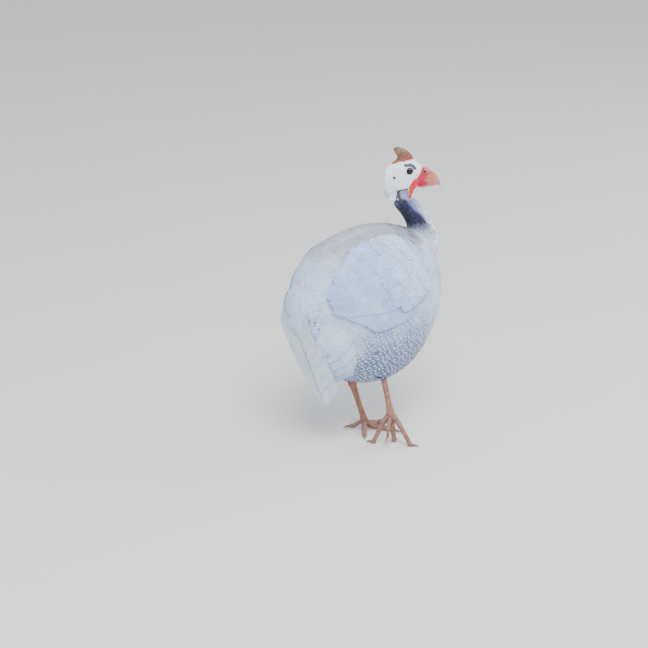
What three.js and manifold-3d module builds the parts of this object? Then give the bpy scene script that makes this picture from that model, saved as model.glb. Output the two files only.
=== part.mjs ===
// A life-size helmeted guinea fowl of a pale lavender breed, standing on its left foot with the toes of its
// right foot just down, its tail hanging and its head turned to its right.
// Millimetres, +Z up. The body heads along +X, so its right side is at -Y. The floor is at Z = 0.
import * as THREE from "three";
import { mergeVertices } from "three/addons/utils/BufferGeometryUtils.js";
import Module from "manifold-3d";

const wasm = await Module();
wasm.setup();

// Driving dimensions
const gap = 0.3; // between two pieces that touch
const bodyCentreX = 0.4; // moves the whole bird so that the origin is under the middle of its outline
const bodyCentreY = 0.8;
const headTurn = -38; // degrees, from the body's heading to the bill's
const vaneThickness = 0.75;
const degrees = Math.PI / 180;

// Materials
const paint = (color, roughness) => new THREE.MeshStandardMaterial({ color, roughness, metalness: 0 });
const plumage = paint("#c3cfe0", 0.85);
const neckPlumage = paint("#5f6c86", 0.85);
const flightPlumage = paint("#b2c3da", 0.8);
const faceSkin = paint("#e6edf2", 0.6);
const wattleSkin = paint("#c23b46", 0.5);
const helmetHorn = paint("#9a6a57", 0.6);
const billHorn = paint("#c88a78", 0.45);
const eyeGlass = paint("#1d1512", 0.15);
const legScales = paint("#8f5f4c", 0.65);
const clawHorn = paint("#4b3a35", 0.5);

const vector = (x, y, z) => new THREE.Vector3(x, y, z);
const mix = (a, b, t) => a + (b - a) * t;

// Catmull-Rom between the rows of a table of numbers, at a fractional row number
function between(rows, at) {
  const last = rows.length - 1;
  const i = Math.min(Math.max(Math.floor(at), 0), last - 1);
  const t = at - i;
  const [p, q, r, s] = [rows[Math.max(i - 1, 0)], rows[i], rows[i + 1], rows[Math.min(i + 2, last)]];
  return q.map(
    (v, k) =>
      0.5 *
      (2 * v +
        (r[k] - p[k]) * t +
        (2 * p[k] - 5 * v + 4 * r[k] - s[k]) * t * t +
        (3 * v - p[k] - 3 * r[k] + s[k]) * t * t * t),
  );
}

// A closed skin over rings of points, with a fan over each end
function skinOver(rings) {
  const around = rings[0].length;
  const points = rings.flat();
  const triangles = [];
  for (let i = 0; i < rings.length - 1; i++)
    for (let j = 0; j < around; j++) {
      const a = i * around + j;
      const b = i * around + ((j + 1) % around);
      triangles.push(a, b, a + around, b, b + around, a + around);
    }
  for (const [ring, first, turn] of [
    [rings[0], 0, 1],
    [rings.at(-1), (rings.length - 1) * around, 0],
  ]) {
    const middle = ring.reduce((sum, p) => sum.add(p), vector(0, 0, 0)).divideScalar(around);
    const centre = points.push(middle) - 1;
    for (let j = 0; j < around; j++) {
      const a = first + j;
      const b = first + ((j + 1) % around);
      if (turn) triangles.push(centre, b, a);
      else triangles.push(centre, a, b);
    }
  }
  const geometry = new THREE.BufferGeometry().setFromPoints(points);
  geometry.setIndex(triangles);
  return geometry;
}

// Geometry to a solid whose faces point outwards
function solid(geometry) {
  const bare = new THREE.BufferGeometry().setAttribute("position", geometry.getAttribute("position"));
  bare.setIndex(geometry.index);
  const merged = mergeVertices(bare, 1e-4);
  const vertProperties = new Float32Array(merged.attributes.position.array);
  const triVerts = new Uint32Array(merged.index.array);
  const corner = (k) => new THREE.Vector3().fromArray(vertProperties, 3 * triVerts[k]);
  let volume = 0;
  for (let k = 0; k < triVerts.length; k += 3) volume += corner(k).dot(corner(k + 1).cross(corner(k + 2)));
  if (volume < 0)
    for (let k = 0; k < triVerts.length; k += 3)
      [triVerts[k + 1], triVerts[k + 2]] = [triVerts[k + 2], triVerts[k + 1]];
  return new wasm.Manifold(new wasm.Mesh({ numProp: 3, vertProperties, triVerts }));
}

const joined = (solids) => solids.reduce((all, one) => all.add(one));
const cutBy = (whole, cutters) => cutters.reduce((left, cutter) => left.subtract(cutter), whole);

function largest(whole) {
  return whole.decompose().reduce((best, one) => (one.volume() > best.volume() ? one : best));
}

function geometryOf(whole) {
  const { vertProperties, triVerts } = whole.getMesh();
  const geometry = new THREE.BufferGeometry();
  geometry.setAttribute("position", new THREE.BufferAttribute(new Float32Array(vertProperties), 3));
  geometry.setIndex(new THREE.BufferAttribute(new Uint32Array(triVerts), 1));
  return geometry;
}

function ball(centre, radii, segments = 14) {
  const geometry = new THREE.SphereGeometry(1, segments, Math.round(segments * 0.6));
  geometry.deleteAttribute("normal");
  geometry.deleteAttribute("uv");
  geometry.scale(...radii).translate(...centre);
  return solid(geometry);
}

const bird = new THREE.Group();
bird.name = "guinea_fowl";
bird.position.set(-bodyCentreX, -bodyCentreY, 0);
const head = new THREE.Group();
head.name = "head_group";
const headPivot = vector(66, 0, 11.5);
head.position.copy(headPivot);
head.rotation.z = headTurn * degrees;
bird.add(head);

function place(group, name, whole, material) {
  const mesh = new THREE.Mesh(geometryOf(largest(whole)), material);
  mesh.name = name;
  group.add(mesh);
  return mesh;
}

// Torso: stations from rump to breast, each [top x, top z, bottom x, bottom z, half width]
const torsoStations = [
  [-126, 229, -122, 214, 4],
  [-128, 253, -115, 192, 21],
  [-120, 281, -103, 168, 37],
  [-98, 304, -85, 144, 54],
  [-62, 321, -61, 115, 72],
  [-18, 330, -30, 95, 82],
  [25, 332, 10, 88, 84],
  [64, 325, 48, 96, 79],
  [95, 308, 78, 119, 67],
  [115, 289, 101, 150, 50],
  [125, 268, 117, 186, 31],
  [128, 238, 127, 222, 5],
];
const torsoEnds = torsoStations.length - 1;

// A point on the body, at a station number and an angle in degrees from the back, swelled by a distance.
// Positive angles are on the left side and negative ones on the right.
function bodyPoint(station, angle, swell = 0) {
  const [topX, topZ, bottomX, bottomZ, halfWidth] = between(torsoStations, station);
  const up = vector((topX - bottomX) / 2, 0, (topZ - bottomZ) / 2);
  const reach = up.length();
  const middle = vector((topX + bottomX) / 2, 0, (topZ + bottomZ) / 2);
  const turn = angle * degrees;
  return middle
    .addScaledVector(up, (Math.cos(turn) * (reach + swell)) / reach)
    .add(vector(0, Math.sin(turn) * (halfWidth + swell), 0));
}

function bodyNormal(station, angle) {
  const step = 0.05;
  const along = bodyPoint(station + step, angle).sub(bodyPoint(station - step, angle));
  const across = bodyPoint(station, angle + 2).sub(bodyPoint(station, angle - 2));
  const normal = along.cross(across).normalize();
  const outward = bodyPoint(station, angle).sub(vector(-5, 0, 200));
  return normal.dot(outward) < 0 ? normal.negate() : normal;
}

function torsoSolid(swell) {
  const rings = [];
  const steps = 17;
  const around = 24;
  for (let i = 0; i <= steps; i++) {
    const station = torsoEnds * (0.5 - 0.5 * Math.cos((Math.PI * (i + 0.6)) / (steps + 1.2)));
    const end = i === 0 ? -swell : i === steps ? swell : 0;
    const ring = [];
    for (let j = 0; j < around; j++)
      ring.push(bodyPoint(station, (360 * j) / around, swell).add(vector(end, 0, 0)));
    rings.push(ring);
  }
  return solid(skinOver(rings));
}
const torsoRaw = torsoSolid(0);
const torsoSwelled = torsoSolid(gap);

// Neck: [x, z, half depth, half width] from inside the breast to inside the head
const neckStations = [
  [92, 258, 27, 28],
  [107, 282, 29, 29],
  [107, 304, 24.5, 24.2],
  [98.8, 323, 18.6, 18],
  [86.5, 341, 15.8, 15.2],
  [73.6, 355, 15.4, 14.4],
  [65.4, 366, 14.6, 13.6],
  [62.6, 378, 13, 12],
];

function neckRing(station, lift = 0) {
  const [x, z, halfDepth, halfWidth] = between(neckStations, station);
  const [nx, nz] = between(neckStations, station + 0.05);
  const [px, pz] = between(neckStations, station - 0.05);
  const along = vector(nx - px, 0, nz - pz).normalize();
  const across = vector(along.z, 0, -along.x);
  const ring = [];
  const around = 18;
  for (let j = 0; j < around; j++) {
    const turn = (2 * Math.PI * j) / around;
    ring.push(
      vector(x, 0, z)
        .addScaledVector(along, lift)
        .addScaledVector(across, Math.cos(turn) * halfDepth)
        .add(vector(0, Math.sin(turn) * halfWidth, 0)),
    );
  }
  return ring;
}

function neckSolid(from, to, steps, lift = 0) {
  const rings = [];
  for (let i = 0; i <= steps; i++) rings.push(neckRing(mix(from, to, i / steps), i ? 0 : lift));
  return solid(skinOver(rings));
}

// Head parts are made in the head's own frame: x towards the bill from the neck's axis, and z as in the body's.
// A form in the head's middle plane: stations of [top x, top z, bottom x, bottom z, half width], y offset and swell.
function profileSolid(stations, { steps = 10, around = 14, swell = 0, y = 0, lean = 0 } = {}) {
  const rings = [];
  const last = stations.length - 1;
  for (let i = 0; i <= steps; i++) {
    const at = (last * i) / steps;
    const [topX, topZ, bottomX, bottomZ, halfWidth] = between(stations, at);
    const [aheadX, aheadZ, belowX, belowZ] = between(stations, Math.min(at + 0.05, last));
    const [behindX, behindZ, underX, underZ] = between(stations, Math.max(at - 0.05, 0));
    const along = vector(aheadX + belowX - behindX - underX, 0, aheadZ + belowZ - behindZ - underZ).normalize();
    const up = vector((topX - bottomX) / 2, 0, (topZ - bottomZ) / 2);
    const reach = Math.max(up.length(), 0.01);
    const end = i === 0 ? -swell : i === steps ? swell : 0;
    const ring = [];
    for (let j = 0; j < around; j++) {
      const turn = (2 * Math.PI * j) / around;
      ring.push(
        vector((topX + bottomX) / 2, y + lean * i, (topZ + bottomZ) / 2)
          .addScaledVector(along, end)
          .addScaledVector(up, (Math.cos(turn) * (reach + swell)) / reach)
          .add(vector(0, Math.sin(turn) * (Math.max(halfWidth, 0.4) + swell), 0)),
      );
    }
    rings.push(ring);
  }
  return solid(skinOver(rings));
}

const skullStations = [
  [-26.8, 384, -26.4, 372, 4],
  [-23.6, 393.5, -23.2, 357, 10],
  [-14.5, 402.5, -14, 348.5, 13.8],
  [-5, 407.5, -6, 351.5, 15.6],
  [5, 410, 4, 355, 15.6],
  [14, 410.5, 13, 359.5, 13.8],
  [19.6, 408, 21, 364.5, 11],
  [26.6, 402.2, 28, 368, 8.8],
  [33.4, 396, 34.6, 371, 6.8],
];
const helmetStations = [
  [19, 400, -17.5, 394, 7.8],
  [19, 405.4, -15.4, 402.6, 7.2],
  [17.8, 409.6, -8.6, 407.4, 6],
  [16.2, 414, -5.6, 412.6, 5.2],
  [12.6, 419.3, -7.8, 417, 4.6],
  [5.8, 424.2, -9.8, 420.2, 3.7],
  [-1.3, 427.8, -11.2, 422.8, 2.6],
  [-7, 427.8, -11.8, 425, 1.2],
];
const upperBillStations = [
  [30, 394, 30, 372.4, 6.9],
  [37.5, 394.6, 37.5, 372.3, 6.4],
  [44.2, 392.6, 44, 372, 5.5],
  [49.8, 388.6, 49.4, 371.6, 4.4],
  [54.2, 383, 53.6, 370.9, 3.2],
  [57.4, 376.6, 56.4, 369.8, 2],
  [58.6, 369.6, 57.6, 367.2, 0.6],
];
const lowerBillStations = [
  [28, 371.9, 28, 366.6, 5.6],
  [36, 371.9, 36, 367.6, 4.9],
  [43, 371.6, 43, 368.4, 3.9],
  [48.5, 371.3, 48.5, 369.2, 2.7],
  [52.5, 370.5, 52.5, 369.4, 0.9],
];
const wattleStations = [
  [27.5, 383.5, 21.5, 383, 1.3],
  [27.2, 379.8, 16.8, 380.6, 2.2],
  [25.6, 376, 12.6, 376.8, 2.6],
  [23, 371.6, 10.4, 372.4, 2.7],
  [20, 367.6, 9.4, 368, 2.5],
  [17.7, 363.7, 9.6, 363.7, 2.2],
  [16.6, 360, 10.4, 359.8, 1.9],
  [15.6, 356.6, 11.3, 356.4, 1.4],
  [14, 353.4, 12.6, 353.2, 0.7],
];
const eye = { x: 13, y: 9.4, z: 395, radius: 5.4, lidRadius: 4.9, lidThickness: 1.3 };
const ear = { x: -9.5, y: 15.6, z: 386 };
const nare = { x: 35.5, y: 4, z: 391.5, radii: [6.6, 3.4, 5.2] };
const sides = [
  ["left", 1],
  ["right", -1],
];

function eyelid(side) {
  const ring = new THREE.TorusGeometry(eye.lidRadius, eye.lidThickness, 5, 12);
  ring.deleteAttribute("normal");
  ring.deleteAttribute("uv");
  ring.rotateX(Math.PI / 2).rotateZ(-0.16 * side);
  ring.translate(eye.x, side * (eye.y + 4.2), eye.z);
  return solid(ring);
}

const wattleOffset = 11.2; // from the head's middle plane to the wattle's root
const wattleSolid = (side, swell) =>
  profileSolid(wattleStations, { steps: 9, around: 10, swell, y: side * wattleOffset, lean: side * 0.16 });

function headSolid() {
  const skull = profileSolid(skullStations, { steps: 13, around: 16 });
  const grown = [skull];
  const cutters = [
    profileSolid(helmetStations, { steps: 9, around: 12, swell: gap }),
    profileSolid(upperBillStations, { steps: 9, around: 12, swell: gap }),
    profileSolid(lowerBillStations, { steps: 8, swell: gap }),
  ];
  for (const [, side] of sides) {
    grown.push(eyelid(side));
    grown.push(ball([nare.x, side * nare.y, nare.z], nare.radii, 10));
    grown.push(ball([ear.x, side * (ear.y - 2.2), ear.z], [3.4, 2.6, 3.6], 10));
    cutters.push(ball([eye.x, side * eye.y, eye.z], Array(3).fill(eye.radius + gap), 12));
    cutters.push(ball([nare.x - 1.6, side * (nare.y + 3), nare.z + 0.8], [2.4, 2, 1.4], 8));
    cutters.push(ball([ear.x, side * (ear.y + 0.8), ear.z], [1.5, 3, 1.7], 8));
    cutters.push(wattleSolid(side, gap));
  }
  return cutBy(joined(grown), cutters);
}

// The head's lower forms swelled by the gap and moved into the body's frame, to trim the neck with
function headInBody() {
  const skull = profileSolid(skullStations, { steps: 16, around: 20, swell: gap });
  const geometry = geometryOf(joined([skull, wattleSolid(1, gap), wattleSolid(-1, gap)]));
  geometry.rotateZ(headTurn * degrees).translate(headPivot.x, headPivot.y, headPivot.z);
  return solid(geometry);
}

place(head, "head", headSolid(), faceSkin);
place(head, "helmet", profileSolid(helmetStations, { steps: 9, around: 12 }), helmetHorn);
place(head, "bill_upper", profileSolid(upperBillStations, { steps: 9, around: 12 }), billHorn);
place(head, "bill_lower", profileSolid(lowerBillStations, { steps: 8 }), billHorn);
for (const [name, side] of sides) {
  place(head, `eye_${name}`, ball([eye.x, side * eye.y, eye.z], Array(3).fill(eye.radius), 12), eyeGlass);
  place(head, `wattle_${name}`, wattleSolid(side, 0), wattleSkin);
}

const neckSplit = 3.6; // station where the neck's two lengths meet
place(bird, "torso", torsoRaw, plumage);
place(bird, "neck_lower", neckSolid(0, neckSplit, 9).subtract(torsoSwelled), plumage);
place(bird, "neck_upper", neckSolid(neckSplit, 7, 8, gap).subtract(headInBody()), neckPlumage);

// A vane through rings of points. Each row holds a middle, the way across, the outward way, half a width and
// half a thickness. With camber the middle stands a little higher than the edges.
function vane(rows, camber = 0.3) {
  const flat = [[-1, 1], [1, 1], [1, -1], [-1, -1]];
  const bowed = [[-1, 1], [0, 1], [1, 1], [1, -1], [0, -1], [-1, -1]];
  const rings = rows.map(({ middle, across, out, halfWidth, halfThickness }) =>
    (camber ? bowed : flat).map(([side, face]) =>
      middle
        .clone()
        .addScaledVector(across, side * halfWidth)
        .addScaledVector(out, face * halfThickness + (side ? 0 : camber)),
    ),
  );
  return solid(skinOver(rings));
}

// Outline of a feather: [part of its length, part of its half width, part of its thickness]
const longOutline = [
  [0, 0.45, 1],
  [0.4, 0.95, 1],
  [0.85, 0.88, 0.8],
  [1, 0.3, 0.6],
];
const straightOutline = [
  [0, 0.5, 1],
  [0.86, 0.95, 0.8],
  [1, 0.3, 0.6],
];
const coverOutline = [
  [0, 0.7, 1],
  [0.3, 0.95, 1],
  [0.65, 1, 0.9],
  [1, 0.35, 0.6],
];
const shortOutline = [
  [0, 0.55, 1],
  [0.6, 1, 0.9],
  [1, 0.35, 0.6],
];

// Station number at a distance X along the body's back
function stationAt(x) {
  let low = 0;
  let high = torsoEnds;
  for (let i = 0; i < 24; i++) {
    const middle = (low + high) / 2;
    if (bodyPoint(middle, 90).x < x) low = middle;
    else high = middle;
  }
  return (low + high) / 2;
}

// A feather lying along the body between two places, each [x, angle, lift]
function bodyVane(root, tip, halfWidth, roll, outline, camber) {
  const at = (t) => [stationAt(mix(root[0], tip[0], t)), mix(root[1], tip[1], t), mix(root[2], tip[2], t)];
  const rows = outline.map(([t, wide, thick]) => {
    const [station, angle, lift] = at(t);
    const out = bodyNormal(station, angle);
    const middle = bodyPoint(station, angle).addScaledVector(out, lift);
    const [s0, a0] = at(t - 0.02);
    const [s1, a1] = at(t + 0.02);
    const along = bodyPoint(s1, a1).sub(bodyPoint(s0, a0)).normalize();
    const across = along.clone().cross(out).normalize();
    const tilted = across.clone().applyAxisAngle(along, roll * degrees);
    const tiltedOut = out.clone().applyAxisAngle(along, roll * degrees);
    return {
      middle,
      across: tilted,
      out: tiltedOut,
      halfWidth: halfWidth * wide,
      halfThickness: (vaneThickness / 2) * thick,
    };
  });
  return vane(rows, camber);
}

// Wing: outline of its core as [x, top angle, bottom angle, height], from the wrist backwards
const wingOutline = [
  [76, 58, 63, 2],
  [71, 47, 70, 4],
  [58, 36, 75, 6],
  [34, 29, 80, 7.2],
  [2, 25, 83, 7],
  [-30, 26, 81, 5.6],
  [-54, 32, 76, 3.8],
  [-68, 42, 66, 2.2],
];

function wingCore(side, droop) {
  const rings = [];
  const steps = 9;
  const across = 5;
  for (let i = 0; i <= steps; i++) {
    const [x, top, bottom, height] = between(wingOutline, ((wingOutline.length - 1) * i) / steps);
    const station = stationAt(x);
    const place = (v, lift) => {
      const angle = side * (mix(top, bottom, v) + droop * (1 - (x + 80) / 160));
      return bodyPoint(station, angle).addScaledVector(bodyNormal(station, angle), lift);
    };
    const ring = [];
    for (let j = 0; j <= across; j++) ring.push(place(j / across, 0.6 + height * Math.sin((Math.PI * j) / across) ** 0.6));
    for (let j = across; j >= 0; j--) ring.push(place(j / across, -2.5));
    rings.push(ring);
  }
  return solid(skinOver(rings));
}

// Rows of wing feathers, from the outermost and lowest to the top. Each has how many, then the root and tip
// of the first and of the last feather as [x, angle, lift], and half a width.
const wingTiers = {
  primaries: {
    count: 6,
    roots: [[26, 79, 1], [-20, 73, 2.2]],
    tips: [[-58, 85, 2.2], [-102, 75, 2.6]],
    halfWidth: 7.8,
    outline: longOutline,
    camber: 0,
  },
  secondaries: {
    count: 8,
    roots: [[20, 73, 3], [-42, 32, 3]],
    tips: [[-90, 78, 4], [-102, 42, 4.2]],
    halfWidth: 8.8,
    outline: longOutline,
    camber: 0,
  },
  greaterCoverts: {
    count: 6,
    roots: [[44, 71, 4], [-18, 33, 4]],
    tips: [[4, 77, 8.2], [-58, 37, 7]],
    halfWidth: 9.8,
    outline: shortOutline,
  },
  medianCoverts: {
    count: 5,
    roots: [[54, 66, 4], [0, 31, 5]],
    tips: [[26, 72, 10.6], [-30, 32, 9.6]],
    halfWidth: 10.4,
    outline: shortOutline,
  },
};

const wingRoll = 11; // degrees by which each feather's lower edge stands proud

function wingSolid(side, droop) {
  const parts = [wingCore(side, droop)];
  for (const { count, roots, tips, halfWidth, outline, camber } of Object.values(wingTiers)) {
    for (let i = 0; i < count; i++) {
      const t = i / (count - 1);
      const place = ([[x0, a0, l0], [x1, a1, l1]]) => {
        const x = mix(x0, x1, t);
        return [x, side * (mix(a0, a1, t) + droop * (1 - (x + 80) / 160)), mix(l0, l1, t)];
      };
      parts.push(bodyVane(place(roots), place(tips), halfWidth, side * wingRoll, outline, camber));
    }
  }
  return joined(parts).subtract(torsoSwelled);
}
const leftWingDroop = 12; // degrees by which the left wing's rear end hangs lower
place(bird, "wing_right", wingSolid(-1, 0), flightPlumage);
place(bird, "wing_left", wingSolid(1, leftWingDroop), flightPlumage);

// Tail: a tented fan hanging from the rump. Distances run down it from its root.
const tailRoot = vector(-131, 0, 214);
const tailWay = vector(0.335, 0, -0.942).normalize();
const tailOut = vector(tailWay.z, 0, -tailWay.x).normalize();
const tailTent = { lateral: [3.2, 3.2], height: [0.2, 1.2] }; // per feather, at the root and added at the tip
const tailLength = 150;
const tailBend = { from: 24, rate: 0.009 }; // near its root the fan bends in to follow the rump
const rumpBend = (down) => tailBend.rate * Math.max(tailBend.from - down, 0) ** 2;

// One feather of the fan. Its number counts from the middle, negative on the right side.
function tailVane(number, start, length, lift, halfWidth, outline, roll) {
  const side = Math.sign(number);
  const rows = outline.map(([t, wide, thick]) => {
    const way = (start + length * t) / tailLength;
    const lateral = number * (tailTent.lateral[0] + tailTent.lateral[1] * way);
    const drop = Math.abs(number) * (tailTent.height[0] + tailTent.height[1] * way);
    const height = lift - drop - rumpBend(start + length * t);
    const slope = Math.atan2(tailTent.height[0] + tailTent.height[1] * way, tailTent.lateral[0] + tailTent.lateral[1] * way);
    const turn = side * (slope - roll * degrees);
    const across = vector(0, Math.cos(turn), 0).addScaledVector(tailOut, -Math.sin(turn));
    const out = tailOut.clone().multiplyScalar(Math.cos(turn)).add(vector(0, Math.sin(turn), 0));
    const middle = tailRoot
      .clone()
      .addScaledVector(tailWay, start + length * t)
      .addScaledVector(tailOut, height)
      .add(vector(0, lateral, 0));
    return { middle, across, out, halfWidth: halfWidth * wide, halfThickness: (vaneThickness / 2) * thick };
  });
  return vane(rows);
}

// Upper rows first, then the two rows of covers under the fan
const tailTiers = [
  { pairs: 7, start: 6, length: 146, shorten: 4.4, lift: 0, halfWidth: 9, outline: straightOutline, roll: 9 },
  { pairs: 3, start: 6, length: 84, shorten: 5, lift: 3.4, halfWidth: 13, outline: shortOutline, roll: 8, spread: 2.2 },
  { pairs: 3, start: -10, length: 68, shorten: 5, lift: 5.8, halfWidth: 13, outline: coverOutline, roll: 8, spread: 2.1 },
  { pairs: 2, start: -22, length: 52, shorten: 5, lift: 8, halfWidth: 14, outline: coverOutline, roll: 8, spread: 2.4 },
  { pairs: 2, start: 40, length: 82, shorten: 7, lift: -9, halfWidth: 16, outline: shortOutline, roll: -8, spread: 3 },
];

function tailSolid() {
  const core = [
    [-26, 2, 4, 12],
    [-12, 3, 6, 23],
    [8, 1, 7, 27],
    [30, -5, 10, 30],
    [54, -12, 12, 28],
    [78, -13, 9, 22],
    [98, -9, 4, 13],
  ];
  const rings = [];
  for (let i = 0; i <= 8; i++) {
    const [down, height, halfDepth, halfWidth] = between(core, (6 * i) / 8);
    const ring = [];
    for (let j = 0; j < 12; j++) {
      const turn = (2 * Math.PI * j) / 12;
      ring.push(
        tailRoot
          .clone()
          .addScaledVector(tailWay, down)
          .addScaledVector(tailOut, height - 3 - rumpBend(down) + Math.cos(turn) * (halfDepth + 3))
          .addScaledVector(tailOut, -Math.abs(Math.sin(turn)) * 5)
          .add(vector(0, Math.sin(turn) * halfWidth, 0)),
      );
    }
    rings.push(ring);
  }
  const parts = [solid(skinOver(rings))];
  for (const { pairs, start, length, shorten, lift, halfWidth, outline, roll, spread = 1 } of tailTiers)
    for (let i = 0; i < pairs; i++)
      for (const [, side] of sides)
        parts.push(
          tailVane(side * (i + 0.5) * spread, start, length - shorten * i * spread, lift + (side > 0 && !i ? 1.2 : 0), halfWidth, outline, roll),
        );
  return joined(parts).subtract(torsoSwelled);
}
place(bird, "tail", tailSolid(), flightPlumage);

// Legs. A limb is a row of [x, y, z, radius].
function limb(rows, { steps = 8, around = 10, swell = 0 } = {}) {
  const rings = [];
  const last = rows.length - 1;
  for (let i = 0; i <= steps; i++) {
    const at = (last * i) / steps;
    const [x, y, z, radius] = between(rows, at);
    const along = vector(...between(rows, Math.min(at + 0.05, last)).slice(0, 3))
      .sub(vector(...between(rows, Math.max(at - 0.05, 0)).slice(0, 3)))
      .normalize();
    const across = vector(0, 1, 0).addScaledVector(along, -along.y).normalize();
    const forward = across.clone().cross(along);
    const end = i === 0 ? -swell : i === steps ? swell : 0;
    const ring = [];
    for (let j = 0; j < around; j++) {
      const turn = (2 * Math.PI * j) / around;
      ring.push(
        vector(x, y, z)
          .addScaledVector(along, end)
          .addScaledVector(across, Math.cos(turn) * (radius * 0.9 + swell))
          .addScaledVector(forward, Math.sin(turn) * (radius * 1.08 + swell)),
      );
    }
    rings.push(ring);
  }
  return solid(skinOver(rings));
}

// A toe or claw heading away from a foot's joint, as rows of [distance, z, half height, half width]
function toeLoft(joint, heading, rows, { steps = rows.length - 1, around = 8, swell = 0, floor = -1 } = {}) {
  const way = vector(Math.cos(heading * degrees), Math.sin(heading * degrees), 0);
  const across = vector(-way.y, way.x, 0);
  const last = rows.length - 1;
  const rings = [];
  for (let i = 0; i <= steps; i++) {
    const at = (last * i) / steps;
    const [distance, z, halfHeight, halfWidth] = between(rows, at);
    const [d1, z1] = between(rows, Math.min(at + 0.05, last));
    const [d0, z0] = between(rows, Math.max(at - 0.05, 0));
    const along = way.clone().multiplyScalar(d1 - d0).add(vector(0, 0, z1 - z0)).normalize();
    const up = along.clone().cross(across).normalize();
    const end = i === 0 ? -swell : i === steps ? swell : 0;
    const ring = [];
    for (let j = 0; j < around; j++) {
      const turn = (2 * Math.PI * (j + 0.5)) / around;
      const point = vector(joint[0], joint[1], z)
        .addScaledVector(way, distance)
        .addScaledVector(along, end)
        .addScaledVector(across, Math.cos(turn) * (Math.max(halfWidth, 0.25) + swell))
        .addScaledVector(up, Math.sin(turn) * (Math.max(halfHeight, 0.25) + swell));
      point.z = Math.max(point.z, floor);
      ring.push(point);
    }
    rings.push(ring);
  }
  return solid(skinOver(rings));
}

const flatToe = (length) => [
  [-2, 9, 4.4, 4.6],
  [length * 0.15, 6.6, 4.2, 4.5],
  [length * 0.28, 4.2, 4.9, 4.6],
  [length * 0.38, 4, 4.8, 4.5],
  [length * 0.5, 3.9, 3.4, 3.8],
  [length * 0.6, 3.6, 4.3, 4.1],
  [length * 0.69, 3.5, 4.2, 4.1],
  [length * 0.8, 3.4, 3, 3.3],
  [length * 0.89, 3.1, 3.8, 3.6],
  [length * 0.96, 3, 3.7, 3.4],
  [length, 2.8, 2.2, 2.2],
];
const hangingToe = (reach, height) => [
  [-2, height + 1, 4.4, 4.6],
  [reach * 0.2, height * 0.86, 4.4, 4.6],
  [reach * 0.42, height * 0.66, 4, 4.3],
  [reach * 0.62, height * 0.45, 3.6, 3.9],
  [reach * 0.8, height * 0.26, 3.6, 3.9],
  [reach * 0.93, height * 0.12, 3.3, 3.5],
  [reach - 0.6, 2.8, 4.4, 3.6],
  [reach + 1.6, 2, 4, 3.2],
  [reach + 3, 2.2, 2.2, 2],
];
const backToe = (length, rise) => [
  [-2, rise, 3.6, 3.6],
  [length * 0.4, mix(rise, 3.4, 0.5), 3.2, 3.4],
  [length * 0.72, 3.1, 3.8, 3.2],
  [length * 0.92, 3, 3.7, 3.1],
  [length + 1.5, 2.8, 2, 2],
];

const legs = {
  left: {
    hock: [-1, 28, 78],
    ankle: [21, 25, 11],
    thigh: [[-14, 33, 132, 24], [-9, 31.5, 110, 18], [-5, 29.5, 93, 12], [-3.4, 28.6, 85, 9]],
    toes: { inner: [-128, 43], middle: [-62, 52], outer: [-14, 42], back: [152, 22] },
    rise: 12,
  },
  right: {
    hock: [-6, -48, 123],
    ankle: [6, -54, 54],
    thigh: [[-12, -40, 146, 26], [-8, -44, 126, 20], [-5.4, -46.6, 112, 13.5], [-4.4, -47.6, 103, 9.6]],
    toes: { inner: [122, 26], middle: [26, 16], outer: [-44, 31], back: [-150, 9] },
    rise: 48,
    hanging: true,
  },
};

for (const [name, { hock, ankle, thigh, toes, rise, hanging }] of Object.entries(legs)) {
  const along = (t, radius) => [...hock.map((v, k) => mix(v, ankle[k], t)), radius];
  const tarsusRows = [
    along(-0.12, 5.5),
    along(0.02, 7.2),
    along(0.14, 5.2),
    along(0.5, 4.1),
    along(0.85, 4.6),
    along(1, 6.2),
    along(1.06, 4.6),
  ];
  const tarsus = limb(tarsusRows, { steps: 11 });
  const tarsusSwelled = limb(tarsusRows, { steps: 11, swell: gap });
  const thighRaw = limb(thigh, { steps: 7, around: 12 });
  const thighSwelled = limb(thigh, { steps: 7, around: 12, swell: gap });
  place(bird, `thigh_${name}`, thighRaw.subtract(torsoSwelled), plumage);
  place(bird, `tarsus_${name}`, cutBy(tarsus, [thighSwelled, torsoSwelled]), legScales);
  const placed = [tarsusSwelled];
  for (const [toe, [heading, reach]] of Object.entries(toes)) {
    const back = toe === "back";
    const rows = back ? backToe(reach, rise) : hanging ? hangingToe(reach, ankle[2]) : flatToe(reach);
    if (back && hanging) rows.forEach((row, i) => (row[1] = rise - 7 * i));
    const options = { floor: 0 };
    const raw = toeLoft(ankle, heading, rows, options);
    const swelled = toeLoft(ankle, heading, rows, { swell: gap });
    const [tip, tipZ] = rows.at(-1);
    const clawRows = [
      [tip - 4, tipZ, 1.9, 1.8],
      [tip + 2, tipZ + 0.2, 1.9, 1.6],
      [tip + 6.5, tipZ - 0.6, 1.2, 1],
      [tip + 9.5, tipZ - 2, 0.3, 0.3],
    ];
    if (back && hanging) clawRows.forEach((row, i) => (row[1] -= 2.2 * i));
    place(bird, `toe_${toe}_${name}`, cutBy(raw, placed), legScales);
    place(bird, `claw_${toe}_${name}`, toeLoft(ankle, heading, clawRows, { steps: 4, around: 6, floor: 0.3 }).subtract(swelled), clawHorn);
    placed.push(swelled);
  }
}

export default bird;
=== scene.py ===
# A helmeted guinea fowl of a pale lavender breed: one skin, solid feathers, bare head, horn and scaled legs.
import math

import bmesh
import bpy
import numpy as np
from mathutils import Matrix, Vector, noise
from mathutils.bvhtree import BVHTree


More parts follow.
